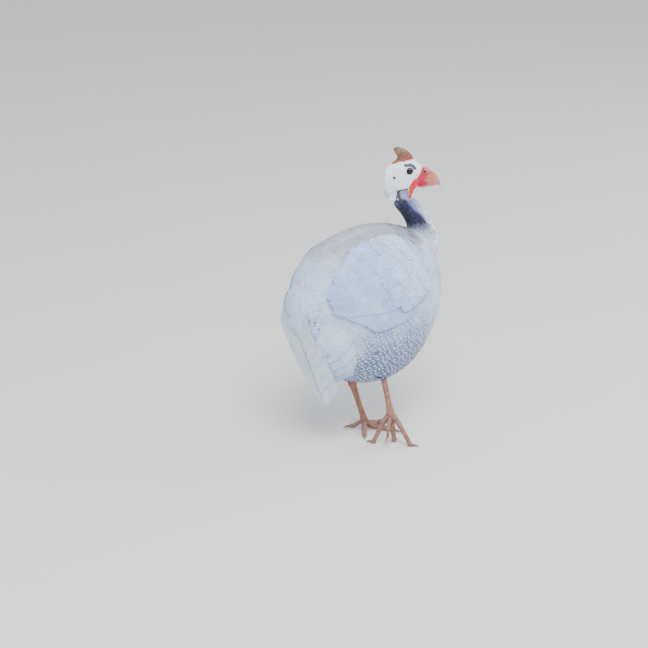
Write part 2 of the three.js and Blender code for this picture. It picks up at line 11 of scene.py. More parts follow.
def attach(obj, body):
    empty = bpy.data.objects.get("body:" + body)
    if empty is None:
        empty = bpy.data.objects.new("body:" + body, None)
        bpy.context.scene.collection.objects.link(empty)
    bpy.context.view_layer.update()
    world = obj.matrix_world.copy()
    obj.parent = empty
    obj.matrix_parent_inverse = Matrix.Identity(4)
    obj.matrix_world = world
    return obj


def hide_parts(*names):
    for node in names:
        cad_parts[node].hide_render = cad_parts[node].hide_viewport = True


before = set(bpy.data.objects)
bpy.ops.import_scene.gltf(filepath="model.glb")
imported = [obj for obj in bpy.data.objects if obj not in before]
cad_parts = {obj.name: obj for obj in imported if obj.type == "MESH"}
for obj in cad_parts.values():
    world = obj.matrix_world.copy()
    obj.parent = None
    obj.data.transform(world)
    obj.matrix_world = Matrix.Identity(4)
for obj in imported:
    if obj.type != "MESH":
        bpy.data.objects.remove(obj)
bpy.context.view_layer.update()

mm = 0.001
rng = np.random.default_rng(7)
bodyShift = np.array([-0.4, -0.8, 0.0])  # mm, from the body's own axes to the model's
headPivot = np.array([66.0, 0.0, 11.5])
headTurn = math.radians(-38)
sides = (("left", 1), ("right", -1))

# The photograph's view: from behind the bird's right shoulder, a little above it
view = {"azimuth": -38, "elevation": 20, "distance": 2.67, "lens": 97.6, "right": -60.7, "up": 168.7}


def makeCamera():
    turn, lift = math.radians(view["azimuth"]), math.radians(view["elevation"])
    right = Vector((math.cos(turn), math.sin(turn), 0))
    ahead = Vector((-math.sin(turn) * math.cos(lift), math.cos(turn) * math.cos(lift), -math.sin(lift)))
    up = right.cross(ahead)
    target = Vector(bodyShift * mm) + right * view["right"] * mm + up * view["up"] * mm
    bpy.ops.object.camera_add(location=target - ahead * view["distance"])
    camera = bpy.context.object
    camera.rotation_euler = ahead.to_track_quat("-Z", "Y").to_euler()
    camera.data.lens = view["lens"]
    camera.data.sensor_width = 36
    camera.data.clip_end = 50
    bpy.context.scene.camera = camera


makeCamera()
print("camera set")


# Numbers and tables
def smooth(a, b, x):
    t = np.clip((np.asarray(x, float) - a) / (b - a), 0, 1)
    return t * t * (3 - 2 * t)


def mix(a, b, t):
    return a + (b - a) * t


def unit(v):
    return v / np.maximum(np.linalg.norm(v, axis=-1, keepdims=True), 1e-9)


def between(rows, at):
    # Catmull-Rom between the rows of a table, at fractional row numbers
    rows, at = np.asarray(rows, float), np.asarray(at, float)
    last = len(rows) - 1
    i = np.clip(np.floor(at).astype(int), 0, last - 1)
    t = (at - i)[..., None]
    p, q, r, s = rows[np.maximum(i - 1, 0)], rows[i], rows[i + 1], rows[np.minimum(i + 2, last)]
    return 0.5 * (2 * q + (r - p) * t + (2 * p - 5 * q + 4 * r - s) * t**2 + (3 * q - p - 3 * r + s) * t**3)


def nearLine(x, z, line):
    # distance from points to a broken line in a plane
    best = np.full(np.shape(x), 1e9)
    for (x0, z0), (x1, z1) in zip(line[:-1], line[1:]):
        dx, dz = x1 - x0, z1 - z0
        t = np.clip(((x - x0) * dx + (z - z0) * dz) / (dx * dx + dz * dz), 0, 1)
        best = np.minimum(best, np.hypot(x - x0 - t * dx, z - z0 - t * dz))
    return best


# Meshes
def makeMesh(name, verts, faces, material, layers=None, colours=None):
    # verts in metres; faces is a list of (n, 3) or (n, 4) arrays
    mesh = bpy.data.meshes.new(name)
    mesh.vertices.add(len(verts))
    mesh.vertices.foreach_set("co", np.asarray(verts, np.float32).ravel())
    corners = np.concatenate([block.ravel() for block in faces]).astype(np.int32)
    sizes = np.concatenate([np.full(len(block), block.shape[1]) for block in faces])
    mesh.loops.add(len(corners))
    mesh.loops.foreach_set("vertex_index", corners)
    mesh.polygons.add(len(sizes))
    mesh.polygons.foreach_set("loop_start", np.concatenate([[0], np.cumsum(sizes)[:-1]]).astype(np.int32))
    mesh.update(calc_edges=True)
    mesh.polygons.foreach_set("use_smooth", np.ones(len(sizes), bool))
    for layerName, uv in (layers or {}).items():
        mesh.uv_layers.new(name=layerName).data.foreach_set("uv", np.asarray(uv, np.float32)[corners].ravel())
    if material:
        mesh.materials.append(material)
    thing = bpy.data.objects.new(name, mesh)
    bpy.context.scene.collection.objects.link(thing)
    if colours is not None:
        paint(thing, colours)
    return thing


def paint(thing, colours):
    # the coat attribute: colour, and in its alpha the size of the pearl dots
    colours = np.asarray(colours, np.float32)
    if colours.shape[1] == 3:
        colours = np.column_stack([colours, np.zeros(len(colours), np.float32)])
    attribute = thing.data.attributes.new("coat", "FLOAT_COLOR", "POINT")
    attribute.data.foreach_set("color", colours.ravel())


def readVerts(thing, what="co"):
    out = np.empty(len(thing.data.vertices) * 3, np.float32)
    thing.data.vertices.foreach_get(what, out)
    return out.reshape(-1, 3).astype(float)


def writeVerts(thing, coords):
    thing.data.vertices.foreach_set("co", np.asarray(coords, np.float32).ravel())
    thing.data.update()


def onlySelect(thing):
    bpy.ops.object.select_all(action="DESELECT")
    thing.select_set(True)
    bpy.context.view_layer.objects.active = thing


def applyModifier(thing, kind, **settings):
    modifier = thing.modifiers.new(kind.lower(), kind)
    for key, value in settings.items():
        setattr(modifier, key, value)
    onlySelect(thing)
    bpy.ops.object.modifier_apply(modifier=modifier.name)


def closedShell(rings):
    # vertices and faces of a tube of rings with a fan over each end
    rings = np.asarray(rings, float)
    n, around = rings.shape[:2]
    index = np.arange(n * around).reshape(n, around)
    beside = np.roll(index, -1, 1)
    quads = np.stack([index[:-1], beside[:-1], beside[1:], index[1:]], -1).reshape(-1, 4)
    verts = np.vstack([rings.reshape(-1, 3), rings[0].mean(0), rings[-1].mean(0)])
    first = np.stack([np.full(around, n * around), beside[0], index[0]], -1)
    last = np.stack([np.full(around, n * around + 1), index[-1], beside[-1]], -1)
    return verts, quads, np.vstack([first, last])


def joinShells(name, shells, material=None):
    verts, quads, caps, start = [], [], [], 0
    for rings in shells:
        v, q, c = closedShell(rings)
        verts.append(v)
        quads.append(q + start)
        caps.append(c + start)
        start += len(v)
    thing = makeMesh(name, np.vstack(verts), [np.vstack(quads), np.vstack(caps)], material)
    onlySelect(thing)
    bpy.ops.object.mode_set(mode="EDIT")
    bpy.ops.mesh.select_all(action="SELECT")
    bpy.ops.mesh.normals_make_consistent(inside=False)
    bpy.ops.object.mode_set(mode="OBJECT")
    return thing


def loftByHand(name, rings, material, around=16, levels=2):
    # rings of [centre, across, up] in mm: circles set one by one, bridged in turn, filled at the ends
    bpy.ops.object.select_all(action="DESELECT")
    for k, (centre, across, up) in enumerate(rings):
        wide, high = np.linalg.norm(across), np.linalg.norm(up)
        axes = np.array([across / wide, up / high, np.cross(across / wide, up / high)])
        bpy.ops.mesh.primitive_circle_add(vertices=around, radius=wide * mm, location=centre * mm,
                                          rotation=Matrix(axes.T.tolist()).to_euler())
        if k == 0:
            thing = bpy.context.object
            bpy.ops.object.transform_apply(location=True, rotation=True, scale=True)
            bpy.ops.object.mode_set(mode="EDIT")
            bpy.ops.mesh.select_mode(type="VERT")
        bpy.ops.transform.resize(value=(1, high / wide, 1), orient_type="GLOBAL", orient_matrix=axes.tolist(),
                                 orient_matrix_type="GLOBAL", center_override=centre * mm)

    def selectRings(first, last):
        bpy.ops.mesh.select_all(action="DESELECT")
        mesh = bmesh.from_edit_mesh(thing.data)
        mesh.verts.ensure_lookup_table()
        for vert in mesh.verts[first * around:last * around]:
            vert.select = True
        mesh.select_flush(True)

    for k in range(len(rings) - 1):
        selectRings(k, k + 2)
        bpy.ops.mesh.bridge_edge_loops()
    for k in (0, len(rings) - 1):
        selectRings(k, k + 1)
        bpy.ops.mesh.edge_face_add()
    bpy.ops.mesh.select_all(action="SELECT")
    bpy.ops.mesh.normals_make_consistent(inside=False)
    bpy.ops.object.mode_set(mode="OBJECT")
    thing.name = thing.data.name = name
    applyModifier(thing, "SUBSURF", levels=levels, render_levels=levels)
    bpy.ops.object.shade_smooth()
    thing.data.materials.append(material)
    return thing


# The body's own shape in mm, as the solids have it
torsoStations = [
    [-126, 229, -122, 214, 4], [-128, 253, -115, 192, 21], [-120, 281, -103, 168, 37], [-98, 304, -85, 144, 54],
    [-62, 321, -61, 115, 72], [-18, 330, -30, 95, 82], [25, 332, 10, 88, 84], [64, 325, 48, 96, 79],
    [95, 308, 78, 119, 67], [115, 289, 101, 150, 50], [125, 268, 117, 186, 31], [128, 238, 127, 222, 5],
]
neckStations = [
    [92, 258, 27, 28], [107, 282, 29, 29], [107, 304, 24.5, 24.2], [98.8, 323, 18.6, 18],
    [86.5, 341, 15.8, 15.2], [73.6, 355, 15.4, 14.4], [65.4, 366, 14.6, 13.6], [62.6, 378, 13, 12],
]
skullStations = [
    [-26.8, 384, -26.4, 372, 4], [-23.6, 393.5, -23.2, 357, 10], [-14.5, 402.5, -14, 348.5, 13.8],
    [-5, 407.5, -6, 351.5, 15.6], [5, 410, 4, 355, 15.6], [14, 410.5, 13, 359.5, 13.8],
    [19.6, 408, 21, 364.5, 11], [26.6, 402.2, 28, 368, 8.8], [33.4, 396, 34.6, 371, 6.8],
]
wingOutline = np.array([
    [76, 58, 63, 2], [71, 47, 70, 4], [58, 36, 75, 6], [34, 29, 80, 7.2],
    [2, 25, 83, 7], [-30, 26, 81, 5.6], [-54, 32, 76, 3.8], [-68, 42, 66, 2.2],
])
wingDroop = {1: 12.0, -1: 0.0}  # degrees that the rear end hangs lower, left and right
tail = {"root": np.array([-131, 0, 214.0]), "way": unit(np.array([0.335, 0, -0.942])), "length": 150,
        "lateral": [3.2, 3.2], "height": [0.2, 1.2], "bendFrom": 24, "bendRate": 0.009}
tail["out"] = np.array([tail["way"][2], 0, -tail["way"][0]])
limbWide, limbDeep = 0.9, 1.08  # a leg is narrower across than fore and aft
thighRows = {
    "left": [[-14, 33, 132, 24], [-9, 31.5, 110, 18], [-5, 29.5, 93, 12], [-3.4, 28.6, 84, 9]],
    "right": [[-12, -40, 146, 26], [-8, -44, 131, 18.5], [-5.4, -46.6, 120, 12], [-4.6, -47.6, 111, 8]],
}


def bodyPoint(station, angle, swell=0.0):
    # angle in degrees from the back, positive on the left
    station, angle = np.broadcast_arrays(np.asarray(station, float), np.asarray(angle, float))
    topX, topZ, bottomX, bottomZ, halfWidth = np.moveaxis(between(torsoStations, station), -1, 0)
    upX, upZ = (topX - bottomX) / 2, (topZ - bottomZ) / 2
    reach = np.hypot(upX, upZ)
    turn = np.radians(angle)
    lift = np.cos(turn) * np.maximum(reach + swell, 0.6) / reach
    x = (topX + bottomX) / 2 + upX * lift
    z = (topZ + bottomZ) / 2 + upZ * lift
    return np.stack([x, np.sin(turn) * np.maximum(halfWidth + swell, 0.6), z], -1)


stationGrid = np.linspace(0, 11, 600)
stationX = bodyPoint(stationGrid, 90)[:, 0]


def stationAt(x):
    return np.interp(x, stationX, stationGrid)


def bodyNormal(station, angle):
    along = bodyPoint(station + 0.05, angle) - bodyPoint(station - 0.05, angle)
    across = bodyPoint(station, angle + 2) - bodyPoint(station, angle - 2)
    normal = unit(np.cross(along, across))
    outward = bodyPoint(station, angle) - np.array([-5.0, 0, 200])
    return normal * np.sign((normal * outward).sum(-1, keepdims=True))


def headToBody(points):
    x, y, z = np.moveaxis(np.asarray(points, float), -1, 0)
    c, s = math.cos(headTurn), math.sin(headTurn)
    return np.stack([x * c - y * s, x * s + y * c, z], -1) + headPivot


def bodyToHead(points):
    x, y, z = np.moveaxis(np.asarray(points, float) - headPivot, -1, 0)
    c, s = math.cos(headTurn), math.sin(headTurn)
    return np.stack([x * c + y * s, -x * s + y * c, z], -1)


def toModel(points):
    return (np.asarray(points, float) + bodyShift) * mm


def toBody(points):
    return np.asarray(points, float) / mm - bodyShift


def droopAt(side, x):
    return wingDroop[side] * (1 - (x + 80) / 160)


def rumpBend(down):
    return tail["bendRate"] * np.maximum(tail["bendFrom"] - down, 0) ** 2


def profileRings(stations, steps, around):
    # rings of a form in the head's middle plane, from [top x, top z, bottom x, bottom z, half width]
    topX, topZ, bottomX, bottomZ, halfWidth = between(stations, np.linspace(0, len(stations) - 1, steps)).T
    up = np.stack([(topX - bottomX) / 2, 0 * topX, (topZ - bottomZ) / 2], -1)
    middle = np.stack([(topX + bottomX) / 2, 0 * topX, (topZ + bottomZ) / 2], -1)
    turn = np.linspace(0, 2 * np.pi, around, endpoint=False)
    out = middle[:, None] + up[:, None] * np.cos(turn)[None, :, None]
    out[..., 1] += np.sin(turn) * np.maximum(halfWidth, 0.4)[:, None]
    return out


def limbRings(rows, swell):
    steps, around = 30, 32
    place = between(rows, np.linspace(0, len(rows) - 1, steps))
    along = unit(np.gradient(place[:, :3], axis=0))
    across = unit(np.array([0, 1.0, 0]) - along * along[:, 1:2])
    forward = np.cross(across, along)
    turn = np.linspace(0, 2 * np.pi, around, endpoint=False)
    radius = np.maximum(place[:, 3] + swell, 0.5)[:, None, None]
    return (place[:, None, :3] + across[:, None] * radius * limbWide * np.cos(turn)[None, :, None]
            + forward[:, None] * radius * limbDeep * np.sin(turn)[None, :, None])


def ballRings(centre, radii):
    steps, around, pole = 14, 20, 0.12
    tilt = np.linspace(pole, np.pi - pole, steps)
    turn = np.linspace(0, 2 * np.pi, around, endpoint=False)
    shape = np.stack([np.sin(tilt)[:, None] * np.cos(turn), np.sin(tilt)[:, None] * np.sin(turn),
                      np.broadcast_to(np.cos(tilt)[:, None], (steps, around))], -1)
    return np.asarray(centre) + shape * np.asarray(radii)


# Materials
def toLinear(code):
    # an sRGB hex colour, as the shader wants it
    parts = [int(code[i:i + 2], 16) / 255 for i in (1, 3, 5)]
    return np.array([c / 12.92 if c <= 0.04045 else ((c + 0.055) / 1.055) ** 2.4 for c in parts])


def rgba(code):
    return (*toLinear(code), 1.0)


def newMaterial(name, **surface):
    material = bpy.data.materials.new(name)
    material.use_nodes = True
    for key, value in surface.items():
        material.node_tree.nodes["Principled BSDF"].inputs[key.replace("_", " ")].default_value = value
    return material


def addNode(material, kind, inputs=(), out=0, **settings):
    # one node with its settings and links; inputs are values or other nodes' sockets
    node = material.node_tree.nodes.new("ShaderNode" + kind)
    for key, value in settings.items():
        setattr(node, key, value)
    for key, value in inputs.items() if isinstance(inputs, dict) else enumerate(inputs):
        if isinstance(value, bpy.types.NodeSocket):
            material.node_tree.links.new(value, node.inputs[key])
        else:
            node.inputs[key].default_value = value
    return node.outputs[out]


def dress(material, colour, bump=None):
    shader = material.node_tree.nodes["Principled BSDF"]
    material.node_tree.links.new(colour, shader.inputs["Base Color"])
    if bump:
        material.node_tree.links.new(bump, shader.inputs["Normal"])


asColour = {"out": 2, "data_type": "RGBA"}  # a Mix node's colours go in at 6 and 7
eased = {"interpolation_type": "SMOOTHSTEP"}
tenTurns = 62.8  # radians, since a vane's own map is in centimetres and its pitches are in millimetres

# Contour feather, matt keratin with a faint silk along its barbs. The real barbs are 0.3 mm apart, drawn at
# 0.9 mm so that they show. Pearl dots stand 6.4 mm apart, 4.2 mm on the wing coverts, the first half that from
# the tip and the shaft. The bars of the flight feathers are 2.6 mm apart.
feather = {
    "roughness": 0.75, "sheen": 0.2, "dotPitch": 6.4, "finePitch": 4.2, "barbPitch": 0.9, "barPitch": 2.6,
    "paleDot": 0.5, "dotEdge": 0.09, "mottleScale": 260.0, "broadScale": 45.0,
    "relief": 0.16, "reliefDepth": 0.0003,
    "white": "#eef3fa", "dot": "#dde7f5", "shadow": "#5b6f9a", "bloom": "#dbe7f8", "shaft": "#dfe8f6",
}


def featherKeratin(name, bars=0.0, pitch=feather["dotPitch"], paleDot=feather["paleDot"]):
    m = newMaterial(name, Roughness=feather["roughness"], IOR=1.54, Sheen_Weight=feather["sheen"],
                    Sheen_Roughness=0.5, Specular_IOR_Level=0.3)
    coat = addNode(m, "Attribute", attribute_name="coat")
    dotSize = coat.node.outputs["Alpha"]
    across = addNode(m, "SeparateXYZ", [addNode(m, "UVMap", uv_map="Vane")])
    along = across.node.outputs[1]  # centimetres from the tip
    side = addNode(m, "Math", [across], operation="ABSOLUTE")  # and from the shaft
    offsets = []
    for socket in (side, along):
        turns = addNode(m, "Math", [socket, pitch / 10], operation="DIVIDE")
        part = addNode(m, "Math", [turns], operation="FRACT")
        offsets.append(addNode(m, "Math", [part, 0.5], operation="SUBTRACT"))
    away = addNode(m, "VectorMath", [addNode(m, "CombineXYZ", offsets)], out=1, operation="LENGTH")
    dotEdge = addNode(m, "Math", [dotSize, away], operation="SUBTRACT")
    dot = addNode(m, "MapRange", [dotEdge, -feather["dotEdge"], feather["dotEdge"], 0.0, 1.0], **eased)
    shown = addNode(m, "MapRange", [dotSize, 0.03, 0.1, 0.0, 1.0])
    light = addNode(m, "RGBToBW", [coat])
    soft = addNode(m, "MapRange", [light, 0.2, 0.6, 1.0, paleDot])  # dots fade where the ground is pale
    for part in (shown, soft):
        dot = addNode(m, "Math", [dot, part], operation="MULTIPLY")
    waves = []
    for slope, pitched, first, second in ((-0.8, "barbPitch", side, along), (0.2, "barPitch", along, side)):
        line = addNode(m, "Math", [first, slope, second], operation="MULTIPLY_ADD")
        phase = addNode(m, "Math", [line, tenTurns / feather[pitched]], operation="MULTIPLY")
        waves.append(addNode(m, "Math", [phase], operation="SINE"))
    barb, bar = waves  # barbs slant to the tip, bars run almost along the shaft
    spot = addNode(m, "TexCoord", out=3)
    mottle = addNode(m, "TexNoise", {"Vector": spot, "Scale": feather["mottleScale"], "Detail": 3.0})
    broad = addNode(m, "TexNoise", {"Vector": spot, "Scale": feather["broadScale"], "Detail": 2.0})
    ground = addNode(m, "MapRange", [light, 0.05, 0.4, 0.0, 1.0])  # dark feathers stay dark
    colour = coat
    for value, low, high, least, most, fades, key in (
        (mottle, 0.4, 0.7, 0.0, 0.22, False, "shadow"),
        (broad, 0.42, 0.72, 0.0, 0.28, True, "bloom"),
        (bar, 0.0, 0.8, 0.0, bars, False, "white"),
        (along, 0.0, 0.25, 0.1, 0.0, True, "white"),
        (side, 0.02, 0.06, 0.2, 0.0, True, "shaft"),
    ):
        amount = addNode(m, "MapRange", [value, low, high, least, most], **eased)
        if fades:
            amount = addNode(m, "Math", [amount, ground], operation="MULTIPLY")
        colour = addNode(m, "Mix", {0: amount, 6: colour, 7: rgba(feather[key])}, **asColour)
    colour = addNode(m, "Mix", {0: dot, 6: colour, 7: rgba(feather["dot"])}, **asColour)
    height = addNode(m, "Math", [barb, mottle], operation="ADD")
    relief = {"Height": height, "Strength": feather["relief"], "Distance": feather["reliefDepth"]}
    dress(m, colour, addNode(m, "Bump", relief))
    return m


contourKeratin = featherKeratin("dotted contour feather keratin")
covertKeratin = featherKeratin("finely dotted covert keratin", pitch=feather["finePitch"], paleDot=0.8)
flightKeratin = featherKeratin("barred flight feather keratin", bars=0.3)


def paintedHide(name, grain, depth, strength, mottle, dark, amount, cells=False, **surface):
    # skin or horn: the coat attribute's colour, mottled in patches, over a fine relief; sizes in mm
    m = newMaterial(name, **surface)
    coat = addNode(m, "Attribute", attribute_name="coat")
    spot = addNode(m, "TexCoord", out=3)
    tone = addNode(m, "TexNoise", {"Vector": spot, "Scale": 1000 / mottle, "Detail": 4.0})
    patch = addNode(m, "MapRange", [tone, 0.4, 0.72, 0.0, amount], **eased)
    colour = addNode(m, "Mix", {0: patch, 6: coat, 7: rgba(dark)}, blend_type="MULTIPLY", **asColour)
    relief = addNode(m, "TexNoise", {"Vector": spot, "Scale": 1000 / grain, "Detail": 4.0})
    if cells:
        edge = addNode(m, "TexVoronoi", {"Vector": spot, "Scale": 450 / grain}, feature="DISTANCE_TO_EDGE")
        plate = addNode(m, "MapRange", [edge, 0.0, 0.16, 0.0, 1.0], **eased)
        relief = addNode(m, "Math", [plate, relief], operation="ADD")
        groove = addNode(m, "MapRange", [edge, 0.0, 0.1, 0.35, 0.0], **eased)
        colour = addNode(m, "Mix", {0: groove, 6: colour, 7: rgba(dark)}, blend_type="MULTIPLY", **asColour)
    dress(m, colour, addNode(m, "Bump", {"Height": relief, "Strength": strength, "Distance": depth * mm}))
    return m


# bare facial skin of a living bird: a little translucent, with pores about 1.2 mm apart
bareSkin = paintedHide("bare facial skin", grain=1.2, depth=0.5, strength=0.5, mottle=7, dark="#b9cddd", amount=0.3,
                       Roughness=0.5, IOR=1.4, Subsurface_Weight=0.1, Subsurface_Scale=0.002)
# wattle: thin skin full of blood, so redder and glossier, with fine wrinkles
wattleSkin = paintedHide("wattle skin", grain=1.0, depth=0.4, strength=0.5, mottle=4, dark="#b04a58", amount=0.5,
                         Roughness=0.4, IOR=1.4, Subsurface_Weight=0.15, Subsurface_Scale=0.002)
# helmet: keratin grown over bone, dry and finely furrowed
helmetHorn = paintedHide("helmet horn", grain=1.4, depth=0.5, strength=0.6, mottle=5, dark="#7d6355", amount=0.6,
                         Roughness=0.55, IOR=1.54)
# bill: keratin worn smooth by feeding, with a slight polish
billHorn = paintedHide("bill horn", grain=1.0, depth=0.25, strength=0.35, mottle=6, dark="#b98a78", amount=0.5,
                       Roughness=0.35, IOR=1.54, Coat_Weight=0.15, Coat_Roughness=0.25)
# leg hide: dry keratin scales of about 2.4 mm with darker seams
legHide = paintedHide("scaled leg hide", grain=1.1, depth=0.4, strength=0.55, mottle=6, dark="#6b4033", amount=0.5,
                      cells=True, Roughness=0.5, IOR=1.5)
# claw: solid keratin rubbed by the ground, smooth and darker at its root
clawHorn = paintedHide("claw horn", grain=0.8, depth=0.2, strength=0.3, mottle=3, dark="#5a4840", amount=0.5,
                       Roughness=0.4, IOR=1.54)
# eye: a wet cornea over a dark iris, so one sharp highlight
eyeGlaze = paintedHide("eye", grain=0.5, depth=0.02, strength=0.05, mottle=1.5, dark="#4a352c", amount=0.4,
                       Roughness=0.06, IOR=1.38, Coat_Weight=0.3, Coat_Roughness=0.02)

# slateAndShade is the slate of the neck's base, and also painted shade under the body and down the breast
tint = {key: toLinear(code) for key, code in {
    "pale": "#c3d5f1", "lavender": "#a3bbe3", "slateAndShade": "#485d88", "dark": "#20243d", "back": "#a0a1a8",
    "breast": "#e6eefb", "blue": "#4f61ad", "face": "#f0f6fb", "brow": "#363c5c",
    "pink": "#e0737e", "throat": "#a79fc4", "nostrilShade": "#3a3448", "wing": "#93b1e1", "covert": "#a2bce8",
    "tail": "#dae6fa", "cere": "#c22646",
}.items()}


def lay(colours, name, amount):
    # a tint laid over colours by an amount from 0 to 1
    colours += (tint[name] - colours) * np.clip(amount, 0, 1)[:, None]


def neckAxis(z):
    return np.interp(z, [255, 281, 304, 323, 341, 355, 366, 378], [96, 107, 107, 99, 87, 74, 66, 63])


# Markings of skin and coat alike, with painted shade low on the flank and belly and a painted shadow of the neck
# down the breast, from the place on the body
def markingsAndShade(points):
    x, y, z = np.moveaxis(np.asarray(points, float), -1, 0)
    colours = np.tile(tint["lavender"], (len(x), 1))
    dots = mix(0.22, 0.15, smooth(240, 300, z))
    lay(colours, "pale", smooth(0, -60, x) * 0.85)  # rump and tail covers are paler
    lay(colours, "slateAndShade", smooth(245, 145, z) * smooth(-72, -30, x) * 0.9)  # lower flank and belly: painted shade under the body
    lay(colours, "back", smooth(288, 316, z) * smooth(62, 25, np.abs(y)) * smooth(-120, -60, x) * 0.9)
    stripe = smooth(70, 118, x) * smooth(34, 8, np.abs(y)) * smooth(120, 150, z)
    lay(colours, "breast", smooth(60, 112, x) * smooth(110, 180, z) * 0.75)
    lay(colours, "breast", stripe)
    # neck: blue-grey sides, dark nape, white down the front; its markings turn with the head
    onIt = smooth(45, 60, x)
    neckAt = smooth(298, 318, z) * onIt
    forward = x - neckAxis(z)
    c, s = math.cos(headTurn), math.sin(headTurn)
    ahead = mix(forward, forward * c + y * s, smooth(320, 360, z))
    lay(colours, "slateAndShade", neckAt * 0.4)
    # painted shadow of the neck: a slate band down each side of the breast's front
    shade = smooth(88, 104, x) * smooth(12, 24, np.abs(y)) * smooth(320, 304, z) * smooth(225, 262, z)
    lay(colours, "slateAndShade", shade * 0.4)
    lay(colours, "dark", smooth(310, 334, z) * smooth(9, 2, ahead) * onIt)
    band = smooth(0, 6, ahead) * smooth(14, 9, ahead)
    lay(colours, "blue", smooth(326, 344, z) * smooth(368, 360, z) * band * onIt * 0.55)
    lay(colours, "breast", smooth(5, 11, ahead) * smooth(285, 306, z) * smooth(352, 342, z) * onIt)
    dots = dots * (1 - neckAt) * (1 - 0.8 * stripe)
    dots = np.where(z > 296, dots * mix(1, 0.7, smooth(300, 322, z)), dots)
    return np.column_stack([colours, dots])


face = {
    "brow": [(5.6, 402.8), (9.5, 402.6), (13.6, 403.2), (17.6, 401), (20, 397.8)],
    "gape": [(34, 372.2), (22, 372.2), (17, 374)],
    "pearls": [(-11.4, 350.2), (-4.4, 351.6), (-16.5, 351.5)], "ear": (-10.4, 384.6), "nostril": (34.6, 392),
    "cereX": [26, 23, 23.5, 27.8, 30, 30.5], "cereZ": [366, 376, 384.5, 391, 397, 404],
    "edgeX": [-30, -16, -9, -7.2, -6.4, 12, 22, 30], "edgeZ": [340, 341, 345, 352, 366, 369.5, 366, 364],
}
eye = {"x": 12.2, "y": 9.5, "z": 394.6, "radius": 5.5}


def faceEdge(x):
    # how low the bare white skin reaches
    return np.interp(x, face["edgeX"], face["edgeZ"])


def headMarkingsAndShade(places):
    # colours of the bare head, with painted shade in the nostril and under the jaw, and how much of the body's
    # markings they cover, from places in the head's mm
    x, y, z = places.T
    out = np.abs(y)
    colours = np.tile(tint["face"], (len(x), 1))
    lay(colours, "brow", smooth(2.7, 1.5, nearLine(x, z, face["brow"])) * 0.95)
    lay(colours, "brow", smooth(5.6, 4.9, np.hypot(x - eye["x"], z - eye["z"])) * smooth(6, 9, out) * 0.85)
    ear = np.hypot(x - face["ear"][0], z - face["ear"][1])
    lay(colours, "brow", smooth(2.6, 1.5, ear) * smooth(8, 11, out) * 0.9)
    cereEdge = np.interp(z, face["cereZ"], face["cereX"])
    lay(colours, "pink", smooth(-4, 1, x - cereEdge) * smooth(388, 382, z) * smooth(360, 366, z) * 0.6)
    lay(colours, "cere", smooth(-0.9, 0.9, x - cereEdge) * smooth(360, 366, z))
    lay(colours, "pink", smooth(32, 36, x) * smooth(386, 392, z) * 0.7)
    # the nostril's opening is filled with painted shade
    hole = np.hypot((x - face["nostril"][0]) * 0.8, z - face["nostril"][1])
    lay(colours, "nostrilShade", smooth(2.4, 1.2, hole) * smooth(3, 5, out))
    below = smooth(faceEdge(x) + 0.6, faceEdge(x) - 0.8, z)
    for pearlX, pearlZ in face["pearls"]:
        below = below * smooth(1.6, 2.8, np.hypot(x - pearlX, z - pearlZ) + 8 * smooth(5, 3, out))
    throat = below * smooth(-3, 3, x) * smooth(346, 354, z)
    lay(colours, "throat", throat)
    # painted shade in the crease under the jaw's fold
    creaseShade = smooth(1.8, 0.6, np.abs(z - faceEdge(x) + 1.2))
    lay(colours, "dark", creaseShade * smooth(-6, 0, x) * smooth(16, 12, x) * 0.7)
    return colours, np.clip(np.maximum(1 - below, throat * 0.9), 0, 1)


# One skin for all the flesh, inside the solids by the coat's depth
skinSize = {"voxel": 2.1, "coatDepth": 4.0, "neckDepth": 2.2, "headVoxel": 0.8, "easing": 10,
            "thighDepth": 2.5, "wingRise": 0.55, "wingRoot": 12, "headFrom": 0.358}
rump = ([-118, 0, 232], [15, 30, 30])  # centre and radii


def neckRings():
    x, z, halfDepth, halfWidth = between(neckStations, np.linspace(0, 7, 60)).T
    along = unit(np.stack([np.gradient(x), 0 * x, np.gradient(z)], -1))
    forward = np.stack([along[:, 2], 0 * x, -along[:, 0]], -1)
    turn = np.linspace(0, 2 * np.pi, 48, endpoint=False)
    inset = mix(skinSize["neckDepth"], skinSize["coatDepth"], smooth(330, 290, z))
    rings = np.stack([x, 0 * x, z], -1)[:, None] + forward[:, None] * (halfDepth - inset)[:, None, None] * (
        np.cos(turn)[None, :, None])
    rings[..., 1] += np.sin(turn) * (halfWidth - inset)[:, None]
    return rings


def wingRings(side):
    # the folded wing's bulge
    rings, v = [], np.linspace(0, 1, 14)
    for x, top, bottom, height in between(wingOutline, np.linspace(0, 7, 30)):
        station, angle = np.full(14, stationAt(x)), side * (mix(top, bottom, v) + droopAt(side, x))
        place, normal = bodyPoint(station, angle), bodyNormal(station, angle)
        outer = place + normal * (-3.6 + skinSize["wingRise"] * height * np.sin(np.pi * v) ** 0.6)[:, None]
        rings.append(np.concatenate([outer, (place - normal * skinSize["wingRoot"])[::-1]]))
    return rings


def tailRings():
    # the tail's fleshy root
    core = between([[-26, 2, 4, 12], [-12, 3, 6, 23], [8, -2, 12, 31], [30, -6, 12, 31], [54, -12, 12, 28],
                    [78, -13, 9, 22], [98, -9, 4, 13]], np.linspace(0, 6, 28))
    turn = np.linspace(0, 2 * np.pi, 36, endpoint=False)
    rings = []
    for down, height, halfDepth, halfWidth in core:
        high = height - 4 - rumpBend(down) + np.cos(turn) * (halfDepth + 1) - np.abs(np.sin(turn)) * 5
        ring = tail["root"] + tail["way"] * down + tail["out"] * high[:, None]
        ring[:, 1] += np.sin(turn) * (halfWidth - 2)
        rings.append(ring)
    return rings


